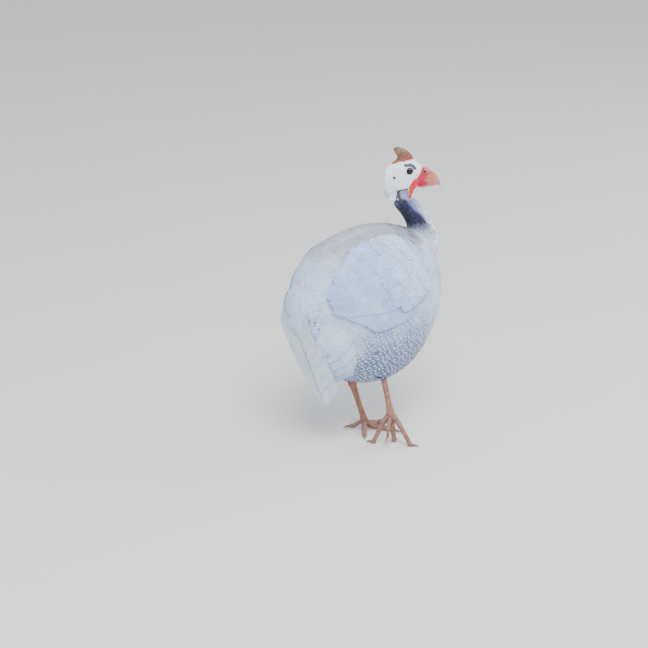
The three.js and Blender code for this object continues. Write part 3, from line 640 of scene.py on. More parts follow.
def headShells():
    # skull, the bulges round the nostrils, the gape and the white knobs of the nape
    shells = [profileRings(skullStations, 60, 64)]
    for _, side in sides:
        shells.append(ballRings([35.5, side * 4, 391.5], [6.6, 3.6, 5.2]))
        shells.append(ballRings([25.4, side * 8.4, 379.6], [4.5, 2.6, 4]))
        for pearlX, pearlZ in face["pearls"]:
            shells.append(ballRings([pearlX, side * 9.5, pearlZ], [2.3, 3.2, 2.2]))
    return [headToBody(rings) for rings in shells]


def sculptHead(places, normals):
    # folds, lids, brow, ear, nostrils and the knobbly nape, as moves along the normals in the head's mm
    x, y, z = places.T
    out = np.abs(y)
    ring = np.hypot(x - eye["x"], z - eye["z"])
    beside = smooth(6, 9, out)
    move = 1.3 * np.exp(-(((ring - 5.5) / 0.9) ** 2)) * beside
    move += 0.5 * np.exp(-(((ring - 7.6) / 0.7) ** 2)) * beside
    move -= 3.0 * smooth(5, 3.8, ring) * beside
    move += 0.8 * np.exp(-((nearLine(x, z, face["brow"]) / 1.3) ** 2)) * smooth(13, 11, out)
    hole = np.hypot(x - face["ear"][0], z - face["ear"][1])
    rim = 1.0 * np.exp(-(((hole - 2.7) / 0.8) ** 2))
    move += (rim - 3.2 * np.exp(-((hole / 1.5) ** 2))) * smooth(8, 11, out)
    slit = np.hypot((x - face["nostril"][0]) * 0.75, z - face["nostril"][1])
    move -= 1.8 * np.exp(-((slit / 1.3) ** 2)) * smooth(3, 5, out)
    move -= 0.8 * np.exp(-((nearLine(x, z, face["gape"]) / 0.8) ** 2)) * smooth(4, 6, out)
    lowest = faceEdge(x)
    move += 1.1 * smooth(lowest - 1.0, lowest + 0.6, z) * smooth(lowest + 12, lowest + 3, z) * smooth(26, 18, x)
    knobs = smooth(6, -8, x) * smooth(396, 380, z)
    for i, place in enumerate(places.tolist()):
        near = noise.voronoi(Vector(place) / 4.2)[0][0]
        move[i] += (0.55 - near) * (0.4 + 2.2 * knobs[i])
        move[i] += 0.4 * noise.noise(Vector(place) / 5.5) + 0.22 * noise.noise(Vector(place) / 1.7)
    return places + normals * move[:, None]


def headWeight(places):
    # 1 on the head, 0 below it, from places in the head's mm
    return smooth(346, 352, places[:, 2] - 0.25 * np.clip(places[:, 0] + 6, 0, 20))


def groupFrom(thing, name, weights):
    group = thing.vertex_groups.new(name=name)
    for step in range(1, 11):
        chosen = np.nonzero(np.round(weights * 10) == step)[0]
        if len(chosen):
            group.add(chosen.tolist(), step / 10, "REPLACE")


def headPlaces(thing):
    return bodyToHead(toBody(readVerts(thing)))


def makeSkin():
    form = joinShells("head form", [toModel(rings) for rings in headShells() + [neckRings()]])
    applyModifier(form, "REMESH", mode="VOXEL", voxel_size=skinSize["headVoxel"] * mm)
    applyModifier(form, "SMOOTH", factor=0.5, iterations=3)
    depth = skinSize["coatDepth"]
    station = 11 * (0.5 - 0.5 * np.cos(np.linspace(0.16, np.pi - 0.16, 90)))
    torso = bodyPoint(station[:, None], np.arange(0, 360, 3)[None], -depth)
    torso[..., 0] *= 1 - depth / 130
    shells = [torso, neckRings(), tailRings(), ballRings(*rump)] + headShells()
    shells += [wingRings(side) for _, side in sides]
    shells += [limbRings(rows, -skinSize["thighDepth"]) for rows in thighRows.values()]
    thing = joinShells("skin", [toModel(rings) for rings in shells], bareSkin)
    applyModifier(thing, "REMESH", mode="VOXEL", voxel_size=skinSize["voxel"] * mm, use_smooth_shade=True)
    groupFrom(thing, "body", 1 - headWeight(headPlaces(thing)))
    applyModifier(thing, "SMOOTH", factor=0.6, iterations=skinSize["easing"], vertex_group="body")
    # the head gets a finer net, drawn onto its own form and then sculpted
    onlySelect(thing)
    bpy.ops.object.mode_set(mode="EDIT")
    bpy.ops.mesh.select_mode(type="FACE")
    bpy.ops.mesh.select_all(action="DESELECT")
    mesh = bmesh.from_edit_mesh(thing.data)
    for part in mesh.faces:
        part.select = bool(part.calc_center_median().z > skinSize["headFrom"])
    bmesh.update_edit_mesh(thing.data)
    bpy.ops.mesh.subdivide(number_cuts=2)
    bpy.ops.object.mode_set(mode="OBJECT")
    groupFrom(thing, "head", headWeight(headPlaces(thing)))
    applyModifier(thing, "SHRINKWRAP", target=form, wrap_method="NEAREST_SURFACEPOINT", vertex_group="head")
    bpy.data.objects.remove(form)
    applyModifier(thing, "SMOOTH", factor=0.5, iterations=2, vertex_group="head")
    places = headPlaces(thing)
    weights = headWeight(places)
    chosen = weights > 0.05
    normals = bodyToHead(readVerts(thing, "normal")[chosen] + headPivot)
    places[chosen] = mix(places[chosen], sculptHead(places[chosen], normals), weights[chosen][:, None])
    coords = headToBody(places)
    writeVerts(thing, toModel(coords))
    thing.vertex_groups.clear()
    colours = markingsAndShade(coords)[:, :3]
    lay(colours, "back", smooth(338, 322, coords[:, 2]) * 0.8)  # pale down under the coat
    bare, cover = headMarkingsAndShade(places)
    cover = cover * smooth(338, 344, places[:, 2])
    paint(thing, mix(colours, bare, cover[:, None]))
    bpy.ops.object.shade_smooth()
    return thing


skin = makeSkin()
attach(skin, "root")
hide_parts("torso", "neck_lower", "neck_upper", "head", "thigh_left", "thigh_right")
print("skin:", len(skin.data.polygons), "faces")


# Feathers root on the skin and lie along it
skin.data.calc_loop_triangles()
triangles = np.empty(len(skin.data.loop_triangles) * 3, np.int32)
skin.data.loop_triangles.foreach_get("vertices", triangles)
triangles = triangles.reshape(-1, 3)
skinPlaces, skinNormals = readVerts(skin), readVerts(skin, "normal")
skinTree = BVHTree.FromPolygons(skinPlaces.tolist(), triangles.tolist())


def onSkin(points):
    # nearest places on the skin, and the smooth normals there
    places, hits = np.empty_like(points), np.empty(len(points), int)
    for i, point in enumerate(points.tolist()):
        place, _, hits[i], _ = skinTree.find_nearest(point)
        places[i] = place
    corners = triangles[hits]
    a, b, c = (skinPlaces[corners[:, k]] for k in range(3))
    area = np.linalg.norm(np.cross(b - a, c - a), axis=1) + 1e-15
    wa = np.linalg.norm(np.cross(b - places, c - places), axis=1) / area
    wb = np.linalg.norm(np.cross(c - places, a - places), axis=1) / area
    weights = np.stack([wa, wb, np.clip(1 - wa - wb, 0, 1)], -1)
    return places, unit((skinNormals[corners] * weights[..., None]).sum(1))


def lie(points):
    # the way the coat lies, in the body's axes
    x, y, z = np.moveaxis(points, -1, 0)
    ways = np.tile([-1.0, 0.0, -0.25], (len(x), 1))
    for way, amount in (
        ([-0.75, 0, -0.7], smooth(220, 150, z) * smooth(-100, -40, x)),
        ([-0.22, 0, -1], smooth(-50, -112, x)),  # down over the rump and the vent to the tail
        ([-0.35, 0, -1], smooth(78, 118, x) * smooth(320, 280, z)),  # down the breast
        ([0.45, 0, -1], smooth(292, 312, z) * smooth(46, 66, x)),
        ([0.75, 0, -0.85], smooth(325, 340, z) * smooth(52, 60, x)),
        ([0.1, 0, -1], smooth(120, 100, z) * smooth(12, 30, np.abs(y)) * smooth(30, 10, x)),  # down the shanks
    ):
        ways += (np.array(way) - ways) * amount[:, None]
    return ways


def walk(roots, length, rows):
    # spines that follow the skin from their roots, with their normals: (n, rows + 1, 3)
    places, normals = onSkin(roots)
    spine, out = [places], [normals]
    for _ in range(rows):
        way = lie(toBody(places))
        way = unit(way - normals * (way * normals).sum(-1, keepdims=True))
        if len(spine) > 1:
            way = unit(way * 0.6 + unit(spine[-1] - spine[-2]) * 0.4)
        places, normals = onSkin(places + way * (length / rows)[:, None])
        spine.append(places)
        out.append(normals)
    return np.stack(spine, 1), np.stack(out, 1)


def resample(lines, s):
    # places at parts s of lines that have even steps
    at = s * (lines.shape[1] - 1)
    i = np.minimum(at.astype(int), lines.shape[1] - 2)
    return mix(lines[:, i], lines[:, i + 1], (at - i)[:, None])


# Outlines of a vane: parts of its length and of its half width
leafOutline = np.array([[0, 0.3], [0.15, 0.6], [0.35, 0.88], [0.6, 1.0], [0.78, 0.98], [0.9, 0.8],
                        [0.97, 0.5], [1, 0.22]])
longOutline = np.array([[0, 0.35], [0.15, 0.6], [0.4, 0.95], [0.8, 1.0], [0.92, 0.85], [0.98, 0.5], [1, 0.2]])
vane = {"thick": 0.2, "crowding": 1.5, "roundTip": 0.8, "soft": 0.8, "agreement": 0.5,
        "bakeWide": 0.0015, "bakeLong": 0.003}


def vanes(name, spine, out, length, halfWidth, lift, colours, bakePlace, material, columns, camber, roll, outline,
          ragged):
    # closed thin vanes: a bowed top of some columns and one keel under it; lift is [root, tip] in mm
    s = 1 - (1 - np.linspace(0, 1, spine.shape[1])) ** vane["crowding"]  # rows crowd to the tip
    spine, out = resample(spine, s), unit(resample(out, s))
    n, rows = spine.shape[:2]
    wide = np.interp(s, outline[:, 0], outline[:, 1])[None] * halfWidth[:, None]
    wide = wide * (1 + ragged * rng.standard_normal((n, rows)))
    along = unit(np.gradient(spine, axis=1))
    across = unit(np.cross(along, out))
    turn = np.radians(roll)[:, None, None]
    tilted = across * np.cos(turn) + out * np.sin(turn)
    raised = out * np.cos(turn) - across * np.sin(turn)
    height = lift[:, :1] + (lift[:, 1:] - lift[:, :1]) * (0.8 * smooth(0, 0.4, s) + 0.2 * s)[None]
    base = spine + out * (height * mm)[..., None]
    c = np.linspace(-1, 1, columns + 1)
    top = base[:, :, None] + tilted[:, :, None] * (wide * mm)[:, :, None, None] * c[:, None]
    top = top + raised[:, :, None] * (camber * wide * mm)[:, :, None, None] * (1 - c**2)[:, None]
    top[:, -1] -= along[:, -1, None] * (wide[:, -1, None, None] * mm) * (c**2)[:, None] * vane["roundTip"]
    keel = base - raised * (vane["thick"] * mm)
    verts = np.concatenate([top, keel[:, :, None]], 2)
    ring = columns + 2
    index = np.arange(rows * ring).reshape(rows, ring)
    beside = np.roll(index, -1, 1)
    quads = np.stack([index[:-1], beside[:-1], beside[1:], index[1:]], -1).reshape(-1, 4)
    fan = np.array([[0, k + 2, k + 1] for k in range(ring - 2)])
    caps = np.concatenate([index[0][fan], index[-1][fan[:, ::-1]]])
    start = (np.arange(n) * rows * ring)[:, None, None]
    fromTip = np.zeros((n, rows, ring, 2))  # centimetres from the shaft and the tip
    fromTip[:, :, :columns + 1, 0] = wide[:, :, None] * c / 10
    fromTip[..., 1] = ((1 - s) * length[:, None] / 10)[:, :, None]
    patch = np.zeros((rows, ring, 2))
    patch[:, :columns + 1, 0] = c * vane["bakeWide"]
    patch[..., 1] = (s[:, None] - 0.5) * vane["bakeLong"]
    bake = bakePlace[:, None, None] + patch
    quads, caps = (quads + start).reshape(-1, 4), (caps + start).reshape(-1, 3)
    verts = verts.reshape(-1, 3)
    maps = {"Vane": fromTip.reshape(-1, 2), "OFBake": bake.reshape(-1, 2)}
    piece = makeMesh(name, verts, [quads, caps], material, maps, np.repeat(colours, rows * ring, axis=0))
    # the top shades as its feather lies and not as its rim curls, so that the coat looks like one surface
    facing = unit(raised * (1 - vane["soft"]) + out * vane["soft"])
    facing = np.repeat(facing.reshape(-1, 3), ring, axis=0)[quads]
    corners = verts[quads]
    flat = unit(np.cross(corners[:, 2] - corners[:, 0], corners[:, 3] - corners[:, 1]))
    agree = (flat[:, None] * facing).sum(-1).min(1) > vane["agreement"]
    onTop = np.tile(np.arange(ring) < columns, n * (rows - 1))
    facing[~(agree & onTop)] = 0  # zero leaves a face its own normals
    ends = np.zeros((3 * len(caps), 3))
    piece.data.normals_split_custom_set(np.vstack([facing.reshape(-1, 3), ends]).tolist())
    return piece


def bakePlaces(points):
    # where roots fall on an unwrap of the skin's own shape: torso, neck and shanks side by side in a unit square
    x, y, z = np.moveaxis(points, -1, 0)
    station = np.clip(stationAt(x), 0, 11)
    middle = between(torsoStations, station)
    angle = np.arctan2(y, z - (middle[:, 1] + middle[:, 3]) / 2)
    torso = np.stack([0.02 + 0.6 * station / 11, 0.5 + 0.47 * angle / np.pi], -1)
    turn = np.arctan2(y, x - neckAxis(z))
    neck = np.stack([0.68 + 0.16 * np.clip((z - 290) / 90, 0, 1), 0.5 + 0.47 * turn / np.pi], -1)
    shank = np.stack([0.91 + 0.05 * np.sign(y), 0.1 + 0.8 * np.clip((z - 70) / 60, 0, 1)], -1)
    onShank = (z < 104) & (np.abs(y) > 22) & (x < 20)
    return np.where(((z > 300) & (x > 55))[:, None], neck, np.where(onShank[:, None], shank, torso))


def scatter(spacing, keep, tries):
    # roots spread evenly over the skin, in the body's mm
    a, b, c = (skinPlaces[triangles[:, k]] for k in range(3))
    area = np.linalg.norm(np.cross(b - a, c - a), axis=1)
    chosen = rng.choice(len(area), tries, p=area / area.sum())
    r1, r2 = np.sqrt(rng.random(tries))[:, None], rng.random(tries)[:, None]
    points = toBody(a[chosen] * (1 - r1) + b[chosen] * r1 * (1 - r2) + c[chosen] * r1 * r2)
    points = points[keep(points)]
    reach = spacing(points)
    cell = float(reach.max())
    grid, kept = {}, []
    around = [(i, j, k) for i in (-1, 0, 1) for j in (-1, 0, 1) for k in (-1, 0, 1)]
    for i, (point, near) in enumerate(zip(points.tolist(), reach.tolist())):
        key = tuple(int(v // cell) for v in point)
        others = [o for d in around for o in grid.get((key[0] + d[0], key[1] + d[1], key[2] + d[2]), ())]
        if all(sum((p - q) ** 2 for p, q in zip(point, o)) > near * near for o in others):
            grid.setdefault(key, []).append(point)
            kept.append(i)
    return points[kept]


def inWing(points, grow=0.0):
    x, y, z = np.moveaxis(points, -1, 0)
    middle = between(torsoStations, stationAt(x))
    half = np.abs(middle[:, 1] - middle[:, 3]) / 2
    angle = np.degrees(np.arctan2(np.abs(y) / middle[:, 4], (z - (middle[:, 1] + middle[:, 3]) / 2) / half))
    angle = angle - np.where(y > 0, droopAt(1, x), 0)
    outline = wingOutline[::-1]
    top, bottom = (np.interp(x, outline[:, 0], outline[:, k]) for k in (1, 2))
    return (x < 74) & (x > -70) & (angle > top - grow) & (angle < bottom + grow)


def isFeathered(points):
    head = bodyToHead(points)
    lowest = np.interp(head[:, 0], [-30, -16, -9, -7.2, -6.4, 2, 12], [340, 341, 345, 352, 360, 356, 348])
    return ~((head[:, 2] > lowest - 1) & (points[:, 2] > 350)) & (points[:, 2] > 80)


def onNeck(points):
    x, z = points[:, 0], points[:, 2]
    return (z > 306) & (x > 50) & (z > 306 + 0.45 * (84 - x))


def featherSize(points):
    # length and half width in mm
    x, y, z = np.moveaxis(points, -1, 0)
    size = np.tile([25.0, 8.0], (len(x), 1))
    for long, half, amount in (
        (28, 9.5, smooth(-60, -110, x)),
        (20, 6.5, smooth(80, 115, x)),
        (18, 4.6, smooth(292, 312, z) * smooth(62, 80, x)),
        (12, 0.9, smooth(312, 334, z) * smooth(50, 56, x)),
        (9, 0.7, smooth(345, 358, z) * smooth(50, 56, x)),
        (14, 4.2, smooth(118, 96, z) * smooth(20, 28, np.abs(y)) * smooth(30, 10, x)),
    ):
        size += (np.array([long, half]) - size) * amount[:, None]
    return size[:, 0], size[:, 1]


coatLie = {"root": -0.6, "tip": 2.5, "neckTip": 2.7, "tipSpread": 0.08, "lengthSpread": 0.08, "shadeSpread": 0.035,
           "rollSpread": 0.8, "foldDrop": 0.5, "camber": 0.07, "ragged": 0.04}


def coatPiece(name, keep, spread=0.38, rows=7, columns=4, tries=60000):
    def spacing(points):
        long, half = featherSize(points)
        return np.sqrt(long * half * 2) * spread

    roots = scatter(spacing, lambda p: isFeathered(p) & keep(p), tries)
    long, half = featherSize(roots)
    long = long * (1 + coatLie["lengthSpread"] * rng.standard_normal(len(roots)))
    spine, out = walk(toModel(roots), long * mm, rows)
    tip = np.where(onNeck(roots), coatLie["neckTip"], coatLie["tip"])
    tip = tip + coatLie["tipSpread"] * rng.standard_normal(len(roots))
    fold = smooth(35, 50, roots[:, 0]) * smooth(255, 275, roots[:, 2]) * smooth(338, 325, roots[:, 2])
    tip = tip * (1 - coatLie["foldDrop"] * fold)  # they lie closer in the hollow between neck and back
    coat = markingsAndShade(roots)
    coat[:, :3] *= 1 + coatLie["shadeSpread"] * rng.standard_normal((len(roots), 1))
    lift = np.stack([0 * tip + coatLie["root"], tip], -1)
    roll = coatLie["rollSpread"] * rng.standard_normal(len(roots))
    piece = vanes(name, spine, out, long, half, lift, coat, bakePlaces(roots), contourKeratin, columns,
                  coatLie["camber"], roll, leafOutline, coatLie["ragged"])
    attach(piece, "root")
    print(name + ":", len(roots), "feathers")


coatPiece("coat_back", lambda p: ~onNeck(p) & ~inWing(p) & (p[:, 2] > 236) & (p[:, 0] < 60), spread=0.33)
coatPiece("coat_flank", lambda p: ~onNeck(p) & ~inWing(p) & (p[:, 2] <= 236) & (p[:, 0] < 60))
coatPiece("coat_breast", lambda p: ~onNeck(p) & ~inWing(p) & (p[:, 0] >= 60), spread=0.3)
coatPiece("coat_shoulders", lambda p: inWing(p, 4) & (p[:, 0] > 12), spread=0.34)
coatPiece("coat_neck", onNeck, rows=4, columns=2, spread=0.44, tries=200000)


# Wings: tiers from the lowest and outermost feather to the top. Each has its colour, the number of feathers, their
# roots and tips as [x, angle, lift] at first and last, half width, bulge of the tips' row and size of the dots.
wingTiers = [
    ("wing", 10, [[34, 84, 1], [-20, 75, 2.2]], [[-50, 95, 2.6], [-100, 82, 3.2]], 7.6, 0, 0.0),
    ("wing", 15, [[26, 77, 3], [-34, 30, 3]], [[-95, 82, 4], [-60, 31, 3.4]], 8, 17, 0.0),
    ("covert", 13, [[44, 76, 2.9], [-10, 29, 2.9]], [[-8, 82, 3.6], [-52, 30, 3.4]], 8, 5, 0.14),
    ("covert", 13, [[52, 73, 3.1], [0, 28, 3.1]], [[14, 79, 3.9], [-34, 28, 3.7]], 7.8, 5, 0.28),
    ("covert", 12, [[58, 70, 3.2], [14, 28, 3.2]], [[30, 75, 4.1], [-16, 27, 3.9]], 7.6, 4, 0.33),
    ("covert", 11, [[64, 67, 3.3], [28, 30, 3.3]], [[42, 71, 4.3], [2, 28, 4.1]], 7.4, 3, 0.36),
]
bigVane = {"lift": [-4.0, 0.0], "shadeSpread": 0.04, "columns": 6, "camber": 0.06, "ragged": 0.01}
leftQuillDrop = 5  # degrees, at the upper end of a tier


def rowsOfVanes(name, feathers, material, roll):
    # one piece from a list of (spine, out, length, half width, colour, dots, roll)
    spines, outs, lengths, halves, colours, dots, rolls = zip(*feathers)
    spines = np.array(spines)
    shades = np.array(colours) * (1 + bigVane["shadeSpread"] * rng.standard_normal((len(spines), 1)))
    piece = vanes(name, toModel(spines), np.array(outs), np.array(lengths), np.array(halves, float),
                  np.tile(bigVane["lift"], (len(spines), 1)), np.column_stack([shades, dots]),
                  bakePlaces(spines[:, 0]), material, bigVane["columns"], bigVane["camber"], np.array(rolls) * roll,
                  longOutline, bigVane["ragged"])
    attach(piece, "root")
    return piece


def wingFeathers(side, wanted, rows, jitter):
    feathers = []
    s = np.linspace(0, 1, rows)[:, None]
    for colour, count, roots, tips, half, bulge, dots in (tier for tier in wingTiers if tier[0] == wanted):
        for t in np.linspace(0, 1, count):
            first, last = (mix(*np.array(ends, float), t) for ends in (roots, tips))
            last[0] += jitter * rng.standard_normal() - 4 * t * (1 - t) * bulge
            if side > 0:
                first[1], last[1] = first[1] + leftQuillDrop * t, last[1] + leftQuillDrop * t
            x, angle, lift = mix(first, last, s).T
            angle = side * (angle + droopAt(side, x))
            out = bodyNormal(stationAt(x), angle)
            spine = bodyPoint(stationAt(x), angle) + out * lift[:, None]
            length = np.linalg.norm(np.diff(spine, axis=0), axis=1).sum()
            feathers.append((spine, out, length, half, tint[colour], dots, side))
    return feathers


for name, side in sides:
    quills = rowsOfVanes("quills_" + name, wingFeathers(side, "wing", 15, 1.5), flightKeratin, 3)
    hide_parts("wing_" + name)
    rowsOfVanes("coverts_" + name, wingFeathers(side, "covert", 9, 3), covertKeratin, 2.5)
print("wings")

# Tail: a tented fan hanging from the rump, with rows of covers above and under it. Each tier has its pairs, the
# number that its outermost feather counts as, the place down the tail where it starts, its length, how much shorter
# each next feather is, its lift and half width in mm and its roll in degrees.
tailTiers = [
    (8, 6.5, 6, 146, 4.4, 0, 9, 3),
    (6, 7, 30, 102, 4.6, 1.6, 10.5, 3),
    (6, 7.4, 18, 96, 4.6, 2.6, 10.5, 3),
    (6, 7.6, 6, 88, 4.6, 3.5, 11, 3),
    (6, 7.6, -6, 80, 4.6, 4.4, 11, 3),
    (6, 7.4, -16, 70, 4.4, 5.2, 11, 3),
    (5, 6.6, -26, 62, 4.2, 6, 11, 3),
    (5, 5.4, 44, 84, 5, -5, 11, -3),
    (5, 5.8, 34, 78, 5, -10, 12, -3),
    (5, 6.2, 22, 74, 5, -16, 12, -3),
]
lengthSpread, middleLift = 2, 0.8  # mm; the left one of the middle pair lies over the right one


def tentAt(down):
    # how far the fan's next feather stands aside and how much lower
    return (a + b * down / tail["length"] for a, b in (tail["lateral"], tail["height"]))


def tailFeathers(tiers, dots):
    feathers = []
    s = np.linspace(0, 1, 13)
    for pairs, reach, start, full, shorter, lift, half, roll in tiers:
        for i in range(pairs):
            for _, side in sides:
                number = side * (i + 0.5) * reach / (pairs - 0.5)
                length = full - shorter * abs(number) + lengthSpread * rng.standard_normal()
                down = start + length * s
                spread, drop = tentAt(down)
                height = lift - abs(number) * drop - rumpBend(down) + (middleLift if side > 0 and i == 0 else 0)
                spine = tail["root"] + tail["way"] * down[:, None] + tail["out"] * height[:, None]
                spine[:, 1] += number * spread
                slope = np.arctan2(drop, spread)[:, None] * side
                out = tail["out"] * np.cos(slope) + np.array([0, 1.0, 0]) * np.sin(slope)
                feathers.append((spine, out, length, half, tint["tail"], dots, side * roll))
    return feathers


# Vent covers, from the row's inner to its outer end: [x, angle] of the root on the body, then the tip's place down
# the tail, the number of the feather that it lies over and its height
ventRows = [
    [[-110, 100, 128, 1, -3], [-56, 138, 98, 6.4, -24]],
    [[-112, 88, 118, 1.6, 0], [-60, 126, 90, 7.2, -19]],
    [[-114, 76, 104, 2.4, 2], [-66, 114, 78, 7.8, -13]],
    [[-115, 64, 86, 3, 4], [-74, 102, 64, 8, -8]],
    [[-118, 100, 66, 3.5, 3], [-100, 114, 52, 7.6, -4]],
]
vent = {"count": 10, "rootDepth": 1.5, "bow": 7, "half": 9.5, "dots": 0.22, "roll": 2, "blend": 0.8}


def ventFeathers():
    # long pale covers that close the space between the rear flank and the tail
    feathers = []
    s = np.linspace(0, 1, 9)[:, None]
    for first, last in ventRows:
        for t in np.linspace(0, 1, vent["count"]):
            for _, side in sides:
                x, angle, down, number, height = mix(np.array(first, float), np.array(last, float), t)
                station, angle = stationAt(x), side * angle
                normal = bodyNormal(station, angle)
                root = bodyPoint(station, angle) - normal * vent["rootDepth"]
                spread, drop = tentAt(down)
                tip = tail["root"] + tail["way"] * down + tail["out"] * (height - number * drop)
                tip[1] += side * number * spread
                bow = (root + tip) / 2 + normal * vent["bow"]
                spine = (1 - s) ** 2 * root + 2 * s * (1 - s) * bow + s**2 * tip
                along = unit(np.gradient(spine, axis=0))
                out = mix(normal, unit(np.array([-0.6, side * 0.5 * number / 6, 0.1])), s)
                out = unit(out - along * (out * along).sum(-1, keepdims=True))
                length = np.linalg.norm(np.diff(spine, axis=0), axis=1).sum()
                colour = mix(tint["tail"], markingsAndShade(root[None])[0, :3], vent["blend"] * t * t)
                feathers.append((spine, out, length, vent["half"], colour, vent["dots"], side * vent["roll"]))
    return feathers


rowsOfVanes("vent_covers", ventFeathers(), contourKeratin, 1)
rectrices = rowsOfVanes("rectrices", tailFeathers(tailTiers[:1], 0.0), flightKeratin, 1)
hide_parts("tail")
rowsOfVanes("tail_covers", tailFeathers(tailTiers[1:], 0.2), contourKeratin, 1)
print("tail")


# Helmet, bill and wattles, as rings in the head's middle plane
def headLoft(name, stations, material, y=0.0, steps=14):
    rings = []
    for topX, topZ, bottomX, bottomZ, halfWidth in between(stations, np.linspace(0, len(stations) - 1, steps)):
        centre = headToBody([(topX + bottomX) / 2, y, (topZ + bottomZ) / 2]) + bodyShift
        up = headToBody([(topX - bottomX) / 2, 0, (topZ - bottomZ) / 2]) - headPivot
        across = headToBody([0, max(halfWidth, 0.3), 0]) - headPivot
        rings.append((centre, across, up))
    return loftByHand(name, rings, material, around=20)


def moveHead(thing, places):
    writeVerts(thing, toModel(headToBody(places)))


def graded(first, last, amount):
    # from one hex colour, or colours that are linear already, to another hex colour
    first = toLinear(first) if isinstance(first, str) else first
    return mix(first, toLinear(last), amount[:, None])


def headNormals(thing):
    return bodyToHead(readVerts(thing, "normal") + headPivot)


def settle(piece, node):
    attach(piece, "root")
    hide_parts(node)


helmet = {
    "stations": [[19, 400, -17.5, 394, 7.8], [19, 405.4, -15.4, 402.6, 7.2], [17.8, 409.6, -8.6, 407.4, 6],
                 [16.2, 414, -5.6, 412.6, 5.2], [12.6, 419.3, -7.8, 417, 4.6], [5.8, 424.2, -9.8, 420.2, 3.7],
                 [-1.3, 427.8, -11.2, 422.8, 2.6], [-7, 427.8, -11.8, 425, 1.2]],
    "base": "#b04a3c", "middle": "#7f5340", "tip": "#8b755e", "furrow": 0.45,
}


def makeHelmet():
    piece = headLoft("casque", helmet["stations"], helmetHorn)
    places, normals = headPlaces(piece), headNormals(piece)
    for i, (x, y, z) in enumerate(places.tolist()):
        furrow = noise.noise(Vector((x / 2.2, y / 2.2, z / 9))) + 0.6 * noise.noise(Vector((x, y, z)) / 2.5)
        places[i] += normals[i] * furrow * helmet["furrow"]
    moveHead(piece, places)
    x, z = places[:, 0], places[:, 2]
    colours = graded(helmet["base"], helmet["middle"], smooth(405, 413, z - 0.25 * x))
    paint(piece, graded(colours, helmet["tip"], smooth(415, 427, z - 0.3 * x)))
    settle(piece, "helmet")


bill = {
    "upper": [[30, 394, 30, 372.4, 6.9], [37.5, 394.6, 37.5, 372.3, 6.4], [44.2, 392.6, 44, 372, 5.5],
              [49.8, 388.6, 49.4, 371.6, 4.4], [54.2, 383, 53.6, 370.8, 3.2], [57.4, 376.6, 56.4, 369.8, 2],
              [58.6, 369.6, 57.6, 367.2, 0.6]],
    "lower": [[28, 371.9, 28, 366.6, 5.6], [36, 371.9, 36, 367.6, 4.9], [43, 371.6, 43, 368.4, 3.9],
              [48.5, 371.3, 48.5, 369.2, 2.7], [52.5, 370.7, 52.5, 369.6, 0.9]],
    "root": "#cc3f50", "culmen": "#cb615f", "side": "#d0906f", "tip": "#bf9a8e", "groove": 0.35, "ridge": 0.38,
}


def makeBill(part):
    piece = headLoft("bill_" + part + "_horn", bill[part], billHorn, steps=12)
    places, normals = headPlaces(piece), headNormals(piece)
    x, y, z = places.T.copy()
    if part == "upper":
        places[:, 1] *= 1 - bill["ridge"] * smooth(376, 392, z)  # a ridge along the top
        edge = np.exp(-(((z - 374.5) / 1.2) ** 2)) * smooth(34, 38, x)
        places -= normals * (bill["groove"] * edge)[:, None]  # over the cutting edge
        moveHead(piece, places)
    colours = graded(bill["root"], bill["culmen"], smooth(33, 40, x))
    colours = graded(colours, bill["side"], smooth(37, 44, x) * smooth(389, 377, z))
    paint(piece, graded(colours, bill["tip"], smooth(49, 56, x)))
    settle(piece, "bill_" + part)


wattle = {
    "stations": [[27.5, 383.5, 21.5, 383, 1.3], [27.2, 379.8, 16.8, 380.6, 2.2], [25.6, 376, 12.6, 376.8, 2.6],
                 [23, 371.6, 10.4, 372.4, 2.7], [20, 367.6, 9.4, 368, 2.5], [17.7, 363.7, 9.6, 363.7, 2.2],
                 [16.6, 360, 10.4, 359.8, 1.9], [15.6, 356.6, 11.3, 356.4, 1.4], [14, 353.4, 12.6, 353.2, 0.7]],
    "offset": 11.6, "red": "#dc3346", "deep": "#ad1f38", "rim": "#f0dfe4", "fold": 0.45,
}


def makeWattle(name, side):
    piece = headLoft("wattle_fold_" + name, wattle["stations"], wattleSkin, y=side * wattle["offset"], steps=16)
    places = headPlaces(piece)
    x, y, z = places.T.copy()
    outer = smooth(0.2, 1.6, side * y - wattle["offset"])
    for i, place in enumerate(places.tolist()):
        fold = math.sin(place[0] * 1.1 + place[2] * 0.35) + noise.noise(Vector(place) / 2.6)
        places[i, 1] += side * fold * wattle["fold"]
    moveHead(piece, places)
    behind = x - np.interp(z, [353, 360, 364, 368, 372.4, 377, 381], [12, 10.4, 9.6, 9.4, 10.4, 12.8, 17])
    rim = smooth(2.6, 1.2, behind) * smooth(382, 378, z) * smooth(357, 361, z) * 0.85
    paint(piece, graded(graded(wattle["deep"], wattle["red"], outer), wattle["rim"], rim))
    settle(piece, "wattle_" + name)


eyeLook = {"pupil": "#06070f", "iris": "#1f1a26", "irisEdge": "#553a34", "rim": "#1c1a26"}


